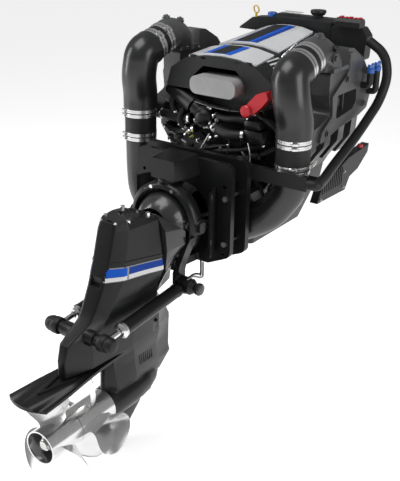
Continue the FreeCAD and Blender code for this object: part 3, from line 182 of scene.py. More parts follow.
# %% Hand the finishes to the CAD parts
FINISH_OF = {
    "gimbal_ring": PAINT_BLACK, "bell_housing": GLOSS_SHELL, "driveshaft_housing": PAINT_BLACK,
    "top_cover": PAINT_BLACK, "gearcase": PAINT_BLACK, "gimbal_housing": PAINT_BLACK,
    "inner_transom_plate": PAINT_BLACK, "trim_barrel": PAINT_BLACK, "trim_gland": ZINC,
    "trim_rod": CHROME_ROD, "trim_front_pins": MOULDED_BLACK, "trim_aft_pin": MOULDED_BLACK,
    "swivel_pins": STAINLESS, "ring_bolts": STAINLESS, "hinge_pins": PAINT_BLACK,
    "cover_bolts": STAINLESS,
    "front_propeller": STAINLESS, "rear_propeller": STAINLESS, "outer_prop_shaft": ZINC,
    "inner_prop_shaft": ZINC, "propeller_nut": STAINLESS, "transom_bolts": ZINC,
    "exhaust_y_pipe": PIPE_BLACK, "exhaust_elbow": PIPE_BLACK, "lower_hose": HOSE_BLACK,
    "upper_hose": HOSE_BLACK, "riser_elbow": MANIFOLD_GREY, "exhaust_manifold": MANIFOLD_GREY,
    "flywheel_housing": ENGINE_BLACK, "engine_block": ENGINE_BLACK, "cylinder_head": ENGINE_BLACK,
    "valve_cover": ENGINE_BLACK, "oil_pan": ENGINE_BLACK, "intake_plenum": MOULDED_BLACK,
    "flame_arrestor": CANISTER_GREY, "engine_cover": MOULDED_BLACK, "cover_panels": PANEL_SILVER,
    "front_cover": ENGINE_BLACK, "heat_exchanger": MOULDED_BLACK, "coolant_cap": MOULDED_BLACK,
    "alternator": MOULDED_BLACK, "fuse_box": MOULDED_BLACK, "starter_motor": ENGINE_BLACK,
    "control_box": MOULDED_BLACK, "raw_water_hose": HOSE_BLACK, "flush_hoses": HOSE_BLACK,
    "water_plugs": BLUE_PLASTIC, "oil_filler": RED_PLASTIC, "crank_pulley": ZINC,
    "alternator_pulley": ZINC,
}


def base_name(node):
    """Node name without its side."""
    for side in ("_starboard", "_port"):
        if node.endswith(side):
            return node[:-len(side)]
    return node


for node, thing in nodes.items():
    thing.data.materials.clear()
    thing.data.materials.append(FINISH_OF.get(base_name(node), ENGINE_BLACK))
unnamed = [node for node in nodes if base_name(node) not in FINISH_OF]
print("nodes without a chosen finish:", unnamed)

# %% [markdown]
# ## Soft edges
# No cast or moulded part has razor edges. A Bevel modifier rounds them, and it needs welded faces, so
# the CAD part, which is loose triangles, is first copied and merged. The copy replaces the CAD node in
# the picture, and the CAD node stays for collision. A width of 0 only smooths the shading, for castings
# whose own curves are fine enough, and thin parts are left as they are.

# %% Rounded copies of the big castings
WELD_M = 0.00002
FLAT_DEGREES = 0.6
EDGE_DEGREES = 32.0
BEVEL_STEPS = 2


def softened(node, width):
    """Merged copy of a CAD node, with edges bevelled by a width in millimetres; it replaces the node."""
    source = nodes[node]
    mesh = bmesh.new()
    mesh.from_mesh(source.data)
    bmesh.ops.remove_doubles(mesh, verts=mesh.verts, dist=WELD_M)
    bmesh.ops.dissolve_limit(mesh, angle_limit=math.radians(FLAT_DEGREES), verts=mesh.verts,
                             edges=mesh.edges, delimit={"NORMAL"})
    data = bpy.data.meshes.new(node + ".soft")
    mesh.to_mesh(data)
    mesh.free()
    thing = bpy.data.objects.new(node + ".soft", data)
    bpy.context.scene.collection.objects.link(thing)
    data.materials.append(source.data.materials[0])
    if width > 0:
        bevel = thing.modifiers.new("edges", "BEVEL")
        bevel.width = width * MM
        bevel.segments = BEVEL_STEPS
        bevel.limit_method = "ANGLE"
        bevel.angle_limit = math.radians(EDGE_DEGREES)
    for face in data.polygons:
        face.use_smooth = True
    data.set_sharp_from_angle(angle=math.radians(EDGE_DEGREES))
    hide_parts(node)
    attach(thing, owner[node])


# %% Which castings are rounded, and by how many millimetres
ROUNDING = {
    "driveshaft_housing": 3.0, "top_cover": 2.5, "gimbal_housing": 2.5, "engine_cover": 3.0,
    "exhaust_manifold": 5.0, "heat_exchanger": 3.0, "oil_filler": 3.0, "control_box": 3.0,
    "bell_housing": 0, "gimbal_ring": 0, "exhaust_elbow": 0, "exhaust_y_pipe": 0, "riser_elbow": 0,
    "gearcase": 0, "cover_panels": 0,
}
for node in sorted(nodes):
    if base_name(node) in ROUNDING:
        softened(node, ROUNDING[base_name(node)])
print("rounded or smoothed castings:", sum(base_name(node) in ROUNDING for node in nodes))

# %% [markdown]
# ## Helpers for the small parts
# Every small part is made the same way: a bmesh is started from a primitive, shaped with operators,
# turned to its place in the mesh itself, and handed to the body it rides on. Keeping the place in the
# mesh, and the object at the origin, keeps patterns steady.


# %% Turn a bmesh into a finished piece
def piece(name, mesh, material, rides, smooth=30.0):
    """Object from a bmesh whose vertices are already in place, in metres."""
    bmesh.ops.recalc_face_normals(mesh, faces=mesh.faces)
    data = bpy.data.meshes.new(name)
    mesh.to_mesh(data)
    mesh.free()
    data.materials.append(material)
    thing = bpy.data.objects.new(name, data)
    bpy.context.scene.collection.objects.link(thing)
    for face in data.polygons:
        face.use_smooth = True
    data.set_sharp_from_angle(angle=math.radians(smooth))
    if rides:
        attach(thing, rides)
    return thing


def facing(at, along):
    """Matrix that puts local Z along a direction and the origin at a point given in millimetres."""
    turn = Vector(along).to_track_quat("Z", "Y").to_matrix().to_4x4()
    return Matrix.Translation(Vector(at) * MM) @ turn


# %% Round bars, hexagon heads and boxes that can be gathered into one piece
HEX_CORNER = 0.577      # a hexagon's corner radius over its width across flats


def add_rod(mesh, radius, start, end, sides=20, top=None):
    """Closed cylinder or cone from start to end, in millimetres."""
    run = Vector(end) - Vector(start)
    middle = (Vector(start) + Vector(end)) / 2
    tip = radius if top is None else top
    bmesh.ops.create_cone(mesh, cap_ends=True, segments=sides, radius1=radius * MM, radius2=tip * MM,
                          depth=run.length * MM, matrix=facing(middle, run))


def add_bolt(mesh, at, along, across, height):
    """Washer, hexagon head and bolt end, the foot at a point on the surface."""
    foot = Vector(at)
    out = Vector(along).normalized()
    add_rod(mesh, across * 0.82, foot, foot + out * 1.3, sides=18)
    add_rod(mesh, across * HEX_CORNER, foot + out * 1.0, foot + out * (1.0 + height), sides=6)
    add_rod(mesh, across * 0.36, foot + out * (0.6 + height), foot + out * (1.8 + height), sides=12)


def add_box(mesh, low, high, turn=None, bevel=0.0):
    """Box between two corners in millimetres, turned about its middle and with its edges broken."""
    size = Vector(high) - Vector(low)
    middle = (Vector(low) + Vector(high)) / 2
    spin = turn.to_matrix().to_4x4() if turn else Matrix.Identity(4)
    scale = Matrix.Diagonal((*(size * MM), 1.0))
    place = Matrix.Translation(middle * MM)
    made = bmesh.ops.create_cube(mesh, size=1.0, matrix=place @ spin @ scale)
    if bevel > 0:
        edges = list({edge for vert in made["verts"] for edge in vert.link_edges})
        bmesh.ops.bevel(mesh, geom=edges, offset=bevel * MM, segments=2, affect="EDGES",
                        profile=0.5, material=-1)


# %% Turned sections made with a full spin
MERGE_M = 0.00001


def spun(mesh, profile, at, along, sides, closed):
    """Outline of (distance along, radius) pairs in millimetres, spun about an axis."""
    seat = facing(at, along)
    verts = [mesh.verts.new(seat @ Vector((r * MM, 0, s * MM))) for s, r in profile]
    ends = verts[1:] + verts[:1] if closed else verts[1:]
    edges = [mesh.edges.new((a, b)) for a, b in zip(verts, ends)]
    bmesh.ops.spin(mesh, geom=verts + edges, cent=seat.translation,
                   axis=seat.to_3x3() @ Vector((0, 0, 1)), angle=math.tau, steps=sides, use_merge=True)


def add_ring(mesh, profile, at, along, sides=40):
    """Solid ring from a closed outline."""
    spun(mesh, profile, at, along, sides, closed=True)


def add_button(mesh, profile, at, along, sides=28):
    """Turned knob from an open outline that starts and ends on the axis."""
    spun(mesh, profile, at, along, sides, closed=False)
    bmesh.ops.remove_doubles(mesh, verts=mesh.verts, dist=MERGE_M)


# %% Tubes along a smooth route
def tube(name, points, radius, material, rides, sides=12):
    """Hose, pipe or wire: a round bar along a smooth curve through the points."""
    curve = bpy.data.curves.new(name, "CURVE")
    curve.dimensions = "3D"
    curve.bevel_depth = radius * MM
    curve.bevel_resolution = max(1, sides // 4)
    curve.resolution_u = 8
    curve.use_fill_caps = True
    line = curve.splines.new("BEZIER")
    line.bezier_points.add(len(points) - 1)
    for knot, spot in zip(line.bezier_points, points):
        knot.co = Vector(spot) * MM
        knot.handle_left_type = "AUTO"
        knot.handle_right_type = "AUTO"
    raw = bpy.data.objects.new(name + "_line", curve)
    bpy.context.scene.collection.objects.link(raw)
    bpy.context.view_layer.update()
    graph = bpy.context.evaluated_depsgraph_get()
    data = bpy.data.meshes.new_from_object(raw.evaluated_get(graph))
    bpy.data.objects.remove(raw)
    mesh = bmesh.new()
    mesh.from_mesh(data)
    bmesh.ops.remove_doubles(mesh, verts=mesh.verts, dist=MERGE_M)
    return piece(name, mesh, material, rides, smooth=50.0)


# %% [markdown]
# ## Worm-drive clamps
# A hose clamp is a stainless band with a slotted stretch, a raised screw housing and a hexagon-headed
# screw. The band is one spun rectangle; the slots are a row of thin raised bars, which catch the light
# as the real pressed thread does. Heavy exhaust hoses always have two clamps side by side.

# %% A clamp
CLAMP_WIDTH = 13.0
BAND_THICK = 1.4
BAR_COUNT, FIRST_BAR_DEGREES, BAR_STEP_DEGREES = 14, 14, 3.4


def clamp(name, at, along, hose_r, toward):
    """Clamp round a hose; toward is the direction from the hose's line to the screw housing."""
    mesh = bmesh.new()
    half = CLAMP_WIDTH / 2
    inner = hose_r + 0.1
    outer = hose_r + BAND_THICK
    add_ring(mesh, [(-half, inner), (-half, outer), (half, outer), (half, inner)], at, along, sides=56)
    axis = Vector(along).normalized()
    out = (Vector(toward) - axis * Vector(toward).dot(axis)).normalized()
    side = axis.cross(out)
    basis = Matrix((side, axis, out)).transposed().to_4x4()
    for k in range(BAR_COUNT):
        turn = Matrix.Rotation(math.radians(FIRST_BAR_DEGREES + BAR_STEP_DEGREES * k), 3, axis)
        bar_out = turn @ out
        bar_side = turn @ side
        frame_turn = Matrix((bar_side, axis, bar_out)).transposed().to_quaternion()
        middle = Vector(at) + bar_out * (outer + 0.25)
        size = Vector((1.5, CLAMP_WIDTH * 0.62, 0.9))
        add_box(mesh, middle - size / 2, middle + size / 2, turn=frame_turn)
    middle = Vector(at) + out * (outer + 4.2)
    housing = Vector((20, CLAMP_WIDTH * 0.86, 8))
    add_box(mesh, middle - housing / 2, middle + housing / 2, turn=basis.to_quaternion(),
            bevel=2.0)
    head = middle - side * 10
    add_rod(mesh, 4.6, head, head - side * 7, sides=6)
    add_rod(mesh, 2.4, middle + side * 9, middle + side * 13, sides=10)
    piece(name, mesh, CLAMP_STEEL, ROOT)


# %% The clamps of the exhaust hoses
EXHAUST_HOSE_R = 60.5
LOWER_HOSE_X, LOWER_HOSE_Y = 336, 108

for side, name in SIDES:
    start = Vector((side * 315, 142, 516))
    end = Vector((side * 315, 223, 541))
    run = end - start
    for k, way in enumerate((0.10, 0.29, 0.71, 0.90)):
        clamp(f"upper_clamp_{name}_{k + 1}", start + run * way, run, EXHAUST_HOSE_R,
              (-side * 0.75, -0.2, 0.66))
    for k, level in enumerate((284, 267, 193, 176)):
        clamp(f"lower_clamp_{name}_{k + 1}", (side * LOWER_HOSE_X, LOWER_HOSE_Y, level), (0, 0, 1),
              EXHAUST_HOSE_R, (side * 0.55, -0.85, 0))
print("sixteen hose clamps")

# %% [markdown]
# ## Finding the surface
# Bolts, stripes and plugs must sit exactly on the castings, so their places are found by casting a ray
# onto the CAD part. If a casting changes size, its bolts follow it. A ray starts outside the part, at
# the reach in x or the height in z that is named below.

# %% Ray casts onto CAD parts
LEG_REACH = 300
ENGINE_REACH = 600
ABOVE = 700
shells = {}


def surface(node, start, along):
    """Where a ray first meets a CAD node, with the outward normal; millimetres in and out."""
    if node not in shells:
        data = nodes[node].data
        place = nodes[node].matrix_world
        shells[node] = BVHTree.FromPolygons([place @ vert.co for vert in data.vertices],
                                            [tuple(face.vertices) for face in data.polygons])
    point, normal, _, _ = shells[node].ray_cast(Vector(start) * MM, Vector(along).normalized())
    if point is None:
        return None, None
    if normal.dot(Vector(along)) > 0:
        normal = -normal
    return point / MM, normal


def bolts_on(name, node, spots, along, material, across, height):
    """Hexagon bolts where rays from the spots meet a casting, each square to the surface."""
    mesh = bmesh.new()
    for spot in spots:
        point, normal = surface(node, spot, along)
        if point is not None:
            add_bolt(mesh, point, normal, across, height)
    piece(name, mesh, material, owner[node])


def grid_on(name, node, corners, along, material, lift, thick=0.5, steps=(24, 6)):
    """Thin sheet laid on a casting: a four-cornered patch projected along a direction."""
    mesh = bmesh.new()
    a, b, c, d = (Vector(corner) for corner in corners)
    out = -Vector(along).normalized()
    rows = []
    for i in range(steps[0] + 1):
        u = i / steps[0]
        row = []
        for j in range(steps[1] + 1):
            v = j / steps[1]
            spot = (a.lerp(b, u)).lerp(d.lerp(c, u), v)
            point, _ = surface(node, spot, along)
            row.append(None if point is None else mesh.verts.new((point + out * (lift + thick)) * MM))
        rows.append(row)
    for i in range(steps[0]):
        for j in range(steps[1]):
            quad = (rows[i][j], rows[i + 1][j], rows[i + 1][j + 1], rows[i][j + 1])
            if None not in quad:
                mesh.faces.new(quad)
    top = list(mesh.faces)
    made = bmesh.ops.extrude_face_region(mesh, geom=top)
    lower = [item for item in made["geom"] if isinstance(item, bmesh.types.BMVert)]
    bmesh.ops.translate(mesh, verts=lower, vec=-out * thick * MM)
    piece(name, mesh, material, owner[node], smooth=40.0)


# %% [markdown]
# ## Colour panels of the leg
# Each side of the leg carries a long two-part panel between the raised ridge and the lower body: a
# bright blue aft segment and a longer dark blue forward one, both with a white lower edge and a thin
# grey frame. They are left bare of words. The corners are (y, z) pairs, and each patch is a share of
# the panel's length and height.

# %% Leg side panels
REAR_TOP, REAR_LOW = Vector((-551, -49)), Vector((-562, -97))
FRONT_TOP, FRONT_LOW = Vector((-299, -76)), Vector((-295, -118))
PANEL_PATCHES = (
    ("frame", 0.0, 1.0, 0.0, 1.0, FRAME_GREY, 0.1),
    ("blue_aft", 0.025, 0.345, 0.08, 0.66, DECAL_BLUE, 0.5),
    ("white_aft", 0.015, 0.345, 0.68, 0.95, WHITE_DECAL_AND_HIGHLIGHT, 0.5),
    ("blue_fore", 0.375, 0.985, 0.08, 0.60, DECAL_DARK_BLUE, 0.5),
    ("white_fore", 0.375, 0.990, 0.62, 0.95, WHITE_DECAL_AND_HIGHLIGHT, 0.5),
)

for side, name in SIDES:
    for part, u0, u1, v0, v1, material, lift in PANEL_PATCHES:
        corners = []
        for u, v in ((u0, v0), (u1, v0), (u1, v1), (u0, v1)):
            spot = REAR_TOP.lerp(FRONT_TOP, u).lerp(REAR_LOW.lerp(FRONT_LOW, u), v)
            corners.append((side * LEG_REACH, spot.x, spot.y))
        grid_on(f"leg_panel_{part}_{name}", "driveshaft_housing", corners, (-side, 0, 0), material,
                lift)
print("leg panels:", len(PANEL_PATCHES), "patches on each side")

# %% Ridge and bolts of the leg casting
RIDGE = ((-556, -30), (-300, -60), (-300, -68), (-556, -40))
LEG_BOLTS = ((-262, -10), (-254, -90), (-246, -168), (-520, -340), (-300, -330))

for side, name in SIDES:
    grid_on(f"leg_ridge_{name}", "driveshaft_housing", [(side * LEG_REACH, y, z) for y, z in RIDGE],
            (-side, 0, 0), PAINT_BLACK, 0.0, 3.0)
for side, ending in ((1, ""), (-1, "_port")):
    bolts_on("leg_side_bolts" + ending, "driveshaft_housing",
             [(side * LEG_REACH, y, z) for y, z in LEG_BOLTS], (-side, 0, 0), PAINT_BLACK, 10, 6)
bolts_on("cover_screws", "top_cover", [(30, -478, 200), (-30, -478, 200), (0, -330, 200)],
         (0, 0, -1), STAINLESS, 7, 4)
print("leg ridges, side bolts and cover screws")

# %% [markdown]
# The gearcase draws its cooling water through a row of slots on each side, and has two plugs there.
# The slots are flat black boxes on the casting, which paint the shade inside the openings.

# %% Cooling water inlets and plugs of the gearcase
SLOT_COUNT, SLOT_PITCH = 7, 13
SLOT_HALF = Vector((0.8, 2.6, 21))

for side, name in SIDES:
    # Flat black boxes where the inlet slots are: painted shade inside the openings.
    mesh = bmesh.new()
    for k in range(SLOT_COUNT):
        point, _ = surface("gearcase", (side * LEG_REACH, -300 - SLOT_PITCH * k, -470 + 2.0 * k),
                           (-side, 0, 0))
        if point is None:
            continue
        middle = point + Vector((side, 0, 0)) * 0.6
        add_box(mesh, middle - SLOT_HALF, middle + SLOT_HALF, turn=Euler((0.16, 0, 0)), bevel=0.7)
    piece(f"water_inlet_painted_shade_{name}", mesh, SHADE_AND_INSET_BLACK, "leg")
    mesh = bmesh.new()
    for y, z, r in ((-392, -602, 8.0), (-330, -600, 6.0)):
        point, normal = surface("gearcase", (side * LEG_REACH, y, z), (-side, 0, 0))
        if point is not None:
            add_button(mesh, [(-2, 0), (-2, r), (0.6, r), (1.4, r - 1.2), (1.4, r * 0.45),
                              (0.2, r * 0.4), (0.2, 0)], point, normal)
    piece(f"gearcase_plugs_{name}", mesh, STAINLESS, "leg")
mesh = bmesh.new()
add_box(mesh, (-22, -640, -408), (22, -560, -396), bevel=3.0)
piece("anode_plate", mesh, ZINC, "leg")
print("water inlets, gearcase plugs and anode")

# %% [markdown]
# ## Trim cylinders
# Each cylinder has a rod eye with a black cushioned bush, a wiper ring at the gland and two collars on
# the barrel. Two hydraulic lines run to it from the transom.

# %% Bush covers, gland rings and hydraulic lines
TRIM_X = 100
TRIM_AFT = (-626, -256)
TRIM_FRONT = (-197.5, -218)
GLAND_REACH = 346
LINE_R = 3.4
along_rod = (Vector((0, *TRIM_AFT)) - Vector((0, *TRIM_FRONT))).normalized()

for side, name in SIDES:
    mesh = bmesh.new()
    add_button(mesh, [(0, 0), (0, 22), (3, 26), (14, 27), (22, 24), (30, 20), (33, 12), (34, 0)],
               (side * 112, *TRIM_AFT), (side, 0, 0))
    add_ring(mesh, [(-14, 20.5), (-14, 27), (-10, 29), (10, 29), (14, 27), (14, 20.5)],
             (side * TRIM_X, *TRIM_AFT), (1, 0, 0))
    piece(f"rod_eye_cushion_{name}", mesh, HOSE_BLACK, "leg")
    mesh = bmesh.new()
    foot = Vector((side * TRIM_X, *TRIM_FRONT)) + along_rod * GLAND_REACH
    add_ring(mesh, [(-3, 12), (-3, 27.5), (2, 27.5), (5, 25), (9, 19), (9, 12)], foot, along_rod)
    piece(f"gland_wiper_{name}", mesh, CLAMP_STEEL, f"trim_barrel_{name}_body")
    mesh = bmesh.new()
    add_ring(mesh, [(-2, 20), (-2, 25.6), (6, 25.6), (6, 20)], foot - along_rod * 18, along_rod)
    add_ring(mesh, [(0, 20), (0, 25.2), (10, 25.2), (12, 23.9), (12, 20)], foot - along_rod * 300,
             along_rod)
    piece(f"barrel_collars_{name}", mesh, PAINT_BLACK, f"trim_barrel_{name}_body")
    mesh = bmesh.new()
    add_button(mesh, [(0, 0), (0, 18), (4, 22), (14, 23), (20, 19), (23, 10), (24, 0)],
               (side * 154, *TRIM_FRONT), (side, 0, 0))
    piece(f"front_pin_cap_{name}", mesh, GLOSS_SHELL, "gimbal_ring_body")
    for k, material in enumerate((LINE_GREY, HOSE_BLACK)):
        drop = 10 * k
        route = [(side * (96 - drop), -78, -176 + drop), (side * (120 - drop), -112, -196 - drop),
                 (side * (140 - drop), -150, -196 + drop), (side * (126 + 4 * k), -186, -184 + drop),
                 (side * (118 + 4 * k), -206, -192 + drop)]
        line = tube(f"trim_line_{name}_{k + 1}", route, LINE_R, material, None, 8)
        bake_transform(line)
print("trim cylinders dressed")

# %% [markdown]
# ## Engine cover
# The two silver panels of the cover carry bare blue and dark stripes, and the cover's shoulders carry
# rows of white bars, which are painted highlights along the louvre slots. All of them lie on the
# moulding, so they are projected straight down on it.

# %% Stripes, recesses and painted louvre highlights
LOUVRE_HIGHLIGHT_ROWS = ((145, 228), (160, 226), (175, 224), (146, 540), (160, 538), (174, 536))
HIGHLIGHT_BARS_PER_ROW, BAR_PITCH, BAR_DRIFT = 13, 6.0, 0.3
BAR_HALF = Vector((2.2, 3.6, 0.8))


def cover_strip(name, low, high, y_aft, y_fore, material, lift, skew):
    """Strip along a panel between two x values; skew shifts its front end sideways."""
    corners = [(low, y_aft, ABOVE), (low + skew, y_fore, ABOVE), (high + skew, y_fore, ABOVE),
               (high, y_aft, ABOVE)]
    grid_on(name, "cover_panels", corners, (0, 0, -1), material, lift, 0.6, (10, 8))


cover_strip("panel_blue_rear", -84, 30, 164, 282, DECAL_BLUE, 0.2, 10)
cover_strip("panel_recess_rear", -56, 4, 166, 280, SHADE_AND_INSET_BLACK, 0.8, 10)
cover_strip("panel_dark_front", -78, 26, 350, 628, DECAL_DARK_BLUE, 0.2, 8)
cover_strip("panel_recess_front", -70, -10, 352, 626, SHADE_AND_INSET_BLACK, 0.8, 8)
cover_strip("panel_stripe_front", -8, 8, 352, 626, DECAL_BLUE, 0.8, 8)
for side, name in SIDES:
    # White bars on the shoulder: painted highlights along the louvre slots.
    mesh = bmesh.new()
    for x, aft in LOUVRE_HIGHLIGHT_ROWS:
        for k in range(HIGHLIGHT_BARS_PER_ROW):
            start = (side * (x + BAR_DRIFT * k), aft + BAR_PITCH * k, ABOVE)
            point, normal = surface("engine_cover", start, (0, 0, -1))
            if point is None:
                continue
            middle = point + normal * 0.5
            add_box(mesh, middle - BAR_HALF, middle + BAR_HALF, turn=normal.to_track_quat("Z", "Y"))
    piece(f"cover_louvre_highlights_{name}", mesh, WHITE_DECAL_AND_HIGHLIGHT, ROOT)
mesh = bmesh.new()
for x in (-118, -70, 70, 118):
    add_box(mesh, (x - 12, 140, 500), (x + 12, 152, 512), bevel=2)
piece("cover_tabs", mesh, MOULDED_BLACK, ROOT)
print("engine cover dressed")

# %% [markdown]
# ## Plumbing and wiring at the rear of the engine
# Behind the engine cover the space over the flywheel housing is packed: a thermostat housing, cooling
# hoses with their clamps, steel lines and looms of wires. Hoses are curves; each gets a band clamp at
# both ends; looms are several thin wires that keep together.

# %% A hose with its two clamps
CLAMP_INSET = 9
BAND_HALF = 4.5
SCREW_HALF = Vector((5, 5, 4))


def clamped_hose(name, points, radius):
    """Rubber hose with a band clamp near each end."""
    tube(name, points, radius, HOSE_BLACK, ROOT, 16)
    mesh = bmesh.new()
    outer = radius + 1.3
    for here, there in ((points[0], points[1]), (points[-1], points[-2])):
        run = (Vector(there) - Vector(here)).normalized()
        at = Vector(here) + run * CLAMP_INSET
        add_ring(mesh, [(-BAND_HALF, radius), (-BAND_HALF, outer), (BAND_HALF, outer),
                        (BAND_HALF, radius)], at, run, 28)
        out = run.cross(Vector((0.3, 0.2, 1))).normalized()
        screw = at + out * (radius + 4)
        add_box(mesh, screw - SCREW_HALF, screw + SCREW_HALF, turn=out.to_track_quat("Z", "Y"),
                bevel=1.4)
        add_rod(mesh, 2.8, screw - run.cross(out) * 4, screw + run.cross(out) * 9, 6)
    piece(name + "_clamps", mesh, CLAMP_STEEL, ROOT)


# %% A loom of wires
WIRE_COLOURS = [HOSE_BLACK, HOSE_BLACK, MOULDED_BLACK, LINE_GREY, HOSE_BLACK]
TIE_HALF = 1.6


def loom(name, points, count, spread, wire):
    """Several wires side by side along one route, with a tie in the middle of each stretch."""
    for k in range(count):
        turn = math.tau * k / count
        around = Vector((math.cos(turn), 0.4 * math.sin(turn), math.sin(turn)))
        shift = around * spread * (0.6 + 0.4 * random.random())
        route = [Vector(spot) + shift * (0.7 + 0.6 * random.random()) for spot in points]
        tube(f"{name}_{k + 1}", route, wire, WIRE_COLOURS[k % len(WIRE_COLOURS)], ROOT, 4)
    mesh = bmesh.new()
    tie = [(-TIE_HALF, spread + wire), (-TIE_HALF, spread + wire + 1), (TIE_HALF, spread + wire + 1),
           (TIE_HALF, spread + wire)]
    for a, b in zip(points[:-1], points[1:]):
        add_ring(mesh, tie, (Vector(a) + Vector(b)) / 2, Vector(b) - Vector(a), 18)
    piece(name + "_ties", mesh, MOULDED_BLACK, ROOT)


# %% Fittings: hexagon, neck and barbs
def fitting(mesh, at, along, r):
    """Threaded hose fitting: hexagon base, neck and ribbed end."""
    foot = Vector(at)
    out = Vector(along).normalized()
    add_rod(mesh, r * 1.15, foot, foot + out * r * 1.1, 6)
    add_rod(mesh, r * 0.62, foot + out * r, foot + out * r * 3.2, 14)
    for k in range(3):
        low, high = 1.6 + 0.55 * k, 2.0 + 0.55 * k
        add_rod(mesh, r * 0.85, foot + out * r * low, foot + out * r * high, 14, top=r * 0.62)


# %% [markdown]
# The thermostat housing is one dark casting, and the hoses run from it to both sides of the engine.

# %% Thermostat housing and large hoses
mesh = bmesh.new()
add_rod(mesh, 40, (-58, 190, 292), (-58, 128, 292), 40)
add_button(mesh, [(0, 0), (0, 36), (5, 36), (8, 30), (20, 22), (24, 12), (24, 0)],
           (-58, 128, 292), (0, -1, 0), 36)
add_rod(mesh, 33, (-238, 182, 372), (-112, 150, 322), 32)
add_rod(mesh, 27, (-112, 150, 322), (-70, 150, 300), 32)
add_box(mesh, (-190, 158, 226), (-40, 188, 262), bevel=6)
add_box(mesh, (118, 118, 226), (204, 188, 282), bevel=14)
add_box(mesh, (126, 112, 282), (196, 184, 318), bevel=12)
piece("thermostat_housing", mesh, ENGINE_BLACK, ROOT)
REAR_HOSES = (
    ("coolant_hose_port", 20,
     [(-286, 182, 262), (-236, 168, 264), (-180, 160, 262), (-128, 158, 270)]),
    ("coolant_hose_low", 15,
     [(-276, 196, 214), (-226, 168, 206), (-168, 150, 214), (-104, 150, 236)]),
    ("coolant_hose_middle", 21,
     [(-12, 140, 262), (40, 122, 252), (84, 118, 250), (126, 130, 254)]),
    ("coolant_hose_upper", 14, [(-20, 150, 300), (40, 138, 300), (90, 138, 306), (134, 148, 302)]),
    ("bypass_hose", 12, [(-148, 190, 330), (-166, 150, 296), (-170, 140, 256), (-150, 150, 226)]),
    ("heater_hose", 11,
     [(-90, 150, 196), (-20, 120, 182), (60, 116, 188), (140, 136, 206), (196, 160, 230)]),
    ("fuel_hose", 7,
     [(-232, 160, 178), (-150, 118, 166), (-60, 104, 176), (10, 108, 196), (66, 130, 208)]),
    ("crankcase_hose", 13,
     [(-196, 200, 392), (-214, 168, 350), (-222, 160, 310), (-206, 170, 276)]),
    ("water_cross_hose", 13, [(150, 178, 330), (190, 150, 322), (222, 160, 300), (232, 190, 270)]),
)
for name, radius, points in REAR_HOSES:
    clamped_hose(name, points, radius)
print("thermostat housing and", len(REAR_HOSES), "large hoses")

# %% [markdown]
# Small bright fittings point in many directions, as they do where hoses of several sizes meet.

# %% Bright fittings
BRIGHT_SPOTS = [
    (-284, 216, 300), (-284, 300, 266), (-164, 150, 276), (-148, 148, 254), (-88, 130, 271),
    (-123, 136, 229), (-177, 140, 250), (-25, 128, 330), (3, 130, 290), (-20, 120, 284),
    (-32, 122, 261), (-5, 118, 252), (18, 118, 237), (-18, 120, 226), (29, 118, 196),
    (29, 118, 183), (-147, 140, 214),
]
YELLOW_FITTINGS = (
    ((-118, 130, 222), (0.3, -1, 0.2)), ((-250, 196, 330), (0, -1, 0.4)),
    ((386, 337, 124), (0, -0.3, 1)), ((-100, 126, 214), (-0.4, -1, -0.2)),
)
YELLOW_R = 5.2

mesh = bmesh.new()
for k, spot in enumerate(BRIGHT_SPOTS):
    aim = Vector((math.sin(2.4 * k), -1.2, math.cos(1.7 * k)))
    fitting(mesh, spot, aim, 4.6 + 1.4 * ((k * 7) % 3) / 2)
piece("rear_fittings", mesh, CLAMP_STEEL, ROOT)
mesh = bmesh.new()
for spot, aim in YELLOW_FITTINGS:
    fitting(mesh, spot, aim, YELLOW_R)
piece("yellow_fittings", mesh, FITTING_YELLOW, ROOT)
print("fittings:", len(BRIGHT_SPOTS), "bright and", len(YELLOW_FITTINGS), "yellow")

# %% [markdown]
# Four looms cross the rear, each with its number of wires, its spread and its wire radius, and four
# thin lines rise beside them.

# %% Looms across the rear
REAR_LOOMS = (
    ("rear_loom", 6, 6, 1.9, [(-216, 150, 206), (-120, 112, 188), (-20, 96, 170), (90, 100, 176),
                              (180, 130, 190), (226, 170, 214)]),
    ("upper_loom", 5, 5, 1.7, [(-170, 150, 352), (-90, 138, 344), (10, 136, 336), (96, 140, 338),
                               (160, 160, 352)]),
    ("starter_loom", 4, 5, 2.2, [(120, 120, 200), (176, 130, 140), (214, 180, 80), (230, 236, 20)]),
    ("low_loom", 5, 6, 1.7, [(-150, 130, 160), (-60, 84, 140), (50, 80, 142), (150, 100, 150)]),
)
STEEL_LINES = (
    [(-190, 120, 150), (-150, 96, 190), (-96, 112, 230)],
    [(-60, 96, 150), (-36, 88, 190), (-20, 116, 240)],
    [(60, 92, 150), (80, 88, 196), (70, 116, 246)],
    [(150, 110, 150), (170, 96, 190), (150, 112, 236)],
)
CONNECTORS = ((-96, 96, 186), (-8, 88, 168), (96, 92, 176), (178, 124, 190), (-170, 130, 196),
              (60, 74, 142))

for name, count, spread, wire, points in REAR_LOOMS:
    loom(name, points, count, spread, wire)
for k, points in enumerate(STEEL_LINES):
    tube(f"steel_line_{k + 1}", points, 2.6, ZINC if k % 2 else HOSE_BLACK, ROOT, 8)
mesh = bmesh.new()
for x, y, z in CONNECTORS:
    add_box(mesh, (x - 16, y - 12, z - 9), (x + 16, y + 12, z + 9), bevel=3)
    add_box(mesh, (x - 11, y - 16, z - 6), (x + 11, y - 10, z + 6), bevel=1.5)
piece("loom_connectors", mesh, MOULDED_BLACK, ROOT)
print("rear of the engine dressed")

# %% [markdown]
# ## Top ends and exhaust
# The risers carry pipe plugs, four bolts and a hose stub; each manifold has four plugs; coils and plug
# leads run along both valve covers. A plug is a round boss with a hexagon on it.

# %% Risers, manifolds and heads
RISER_TOPS = ((330, 262), (296, 306))
RISER_SIDE = (291, 537)
MANIFOLD_PLUGS = ((408, 445), (572, 451), (274, 273), (560, 330))
RISER_BOLTS = ((268, 394), (366, 394), (268, 312), (366, 312))
COIL_COUNT, COIL_PITCH = 4, 108
COIL_HALF = Vector((22, 17, 11))


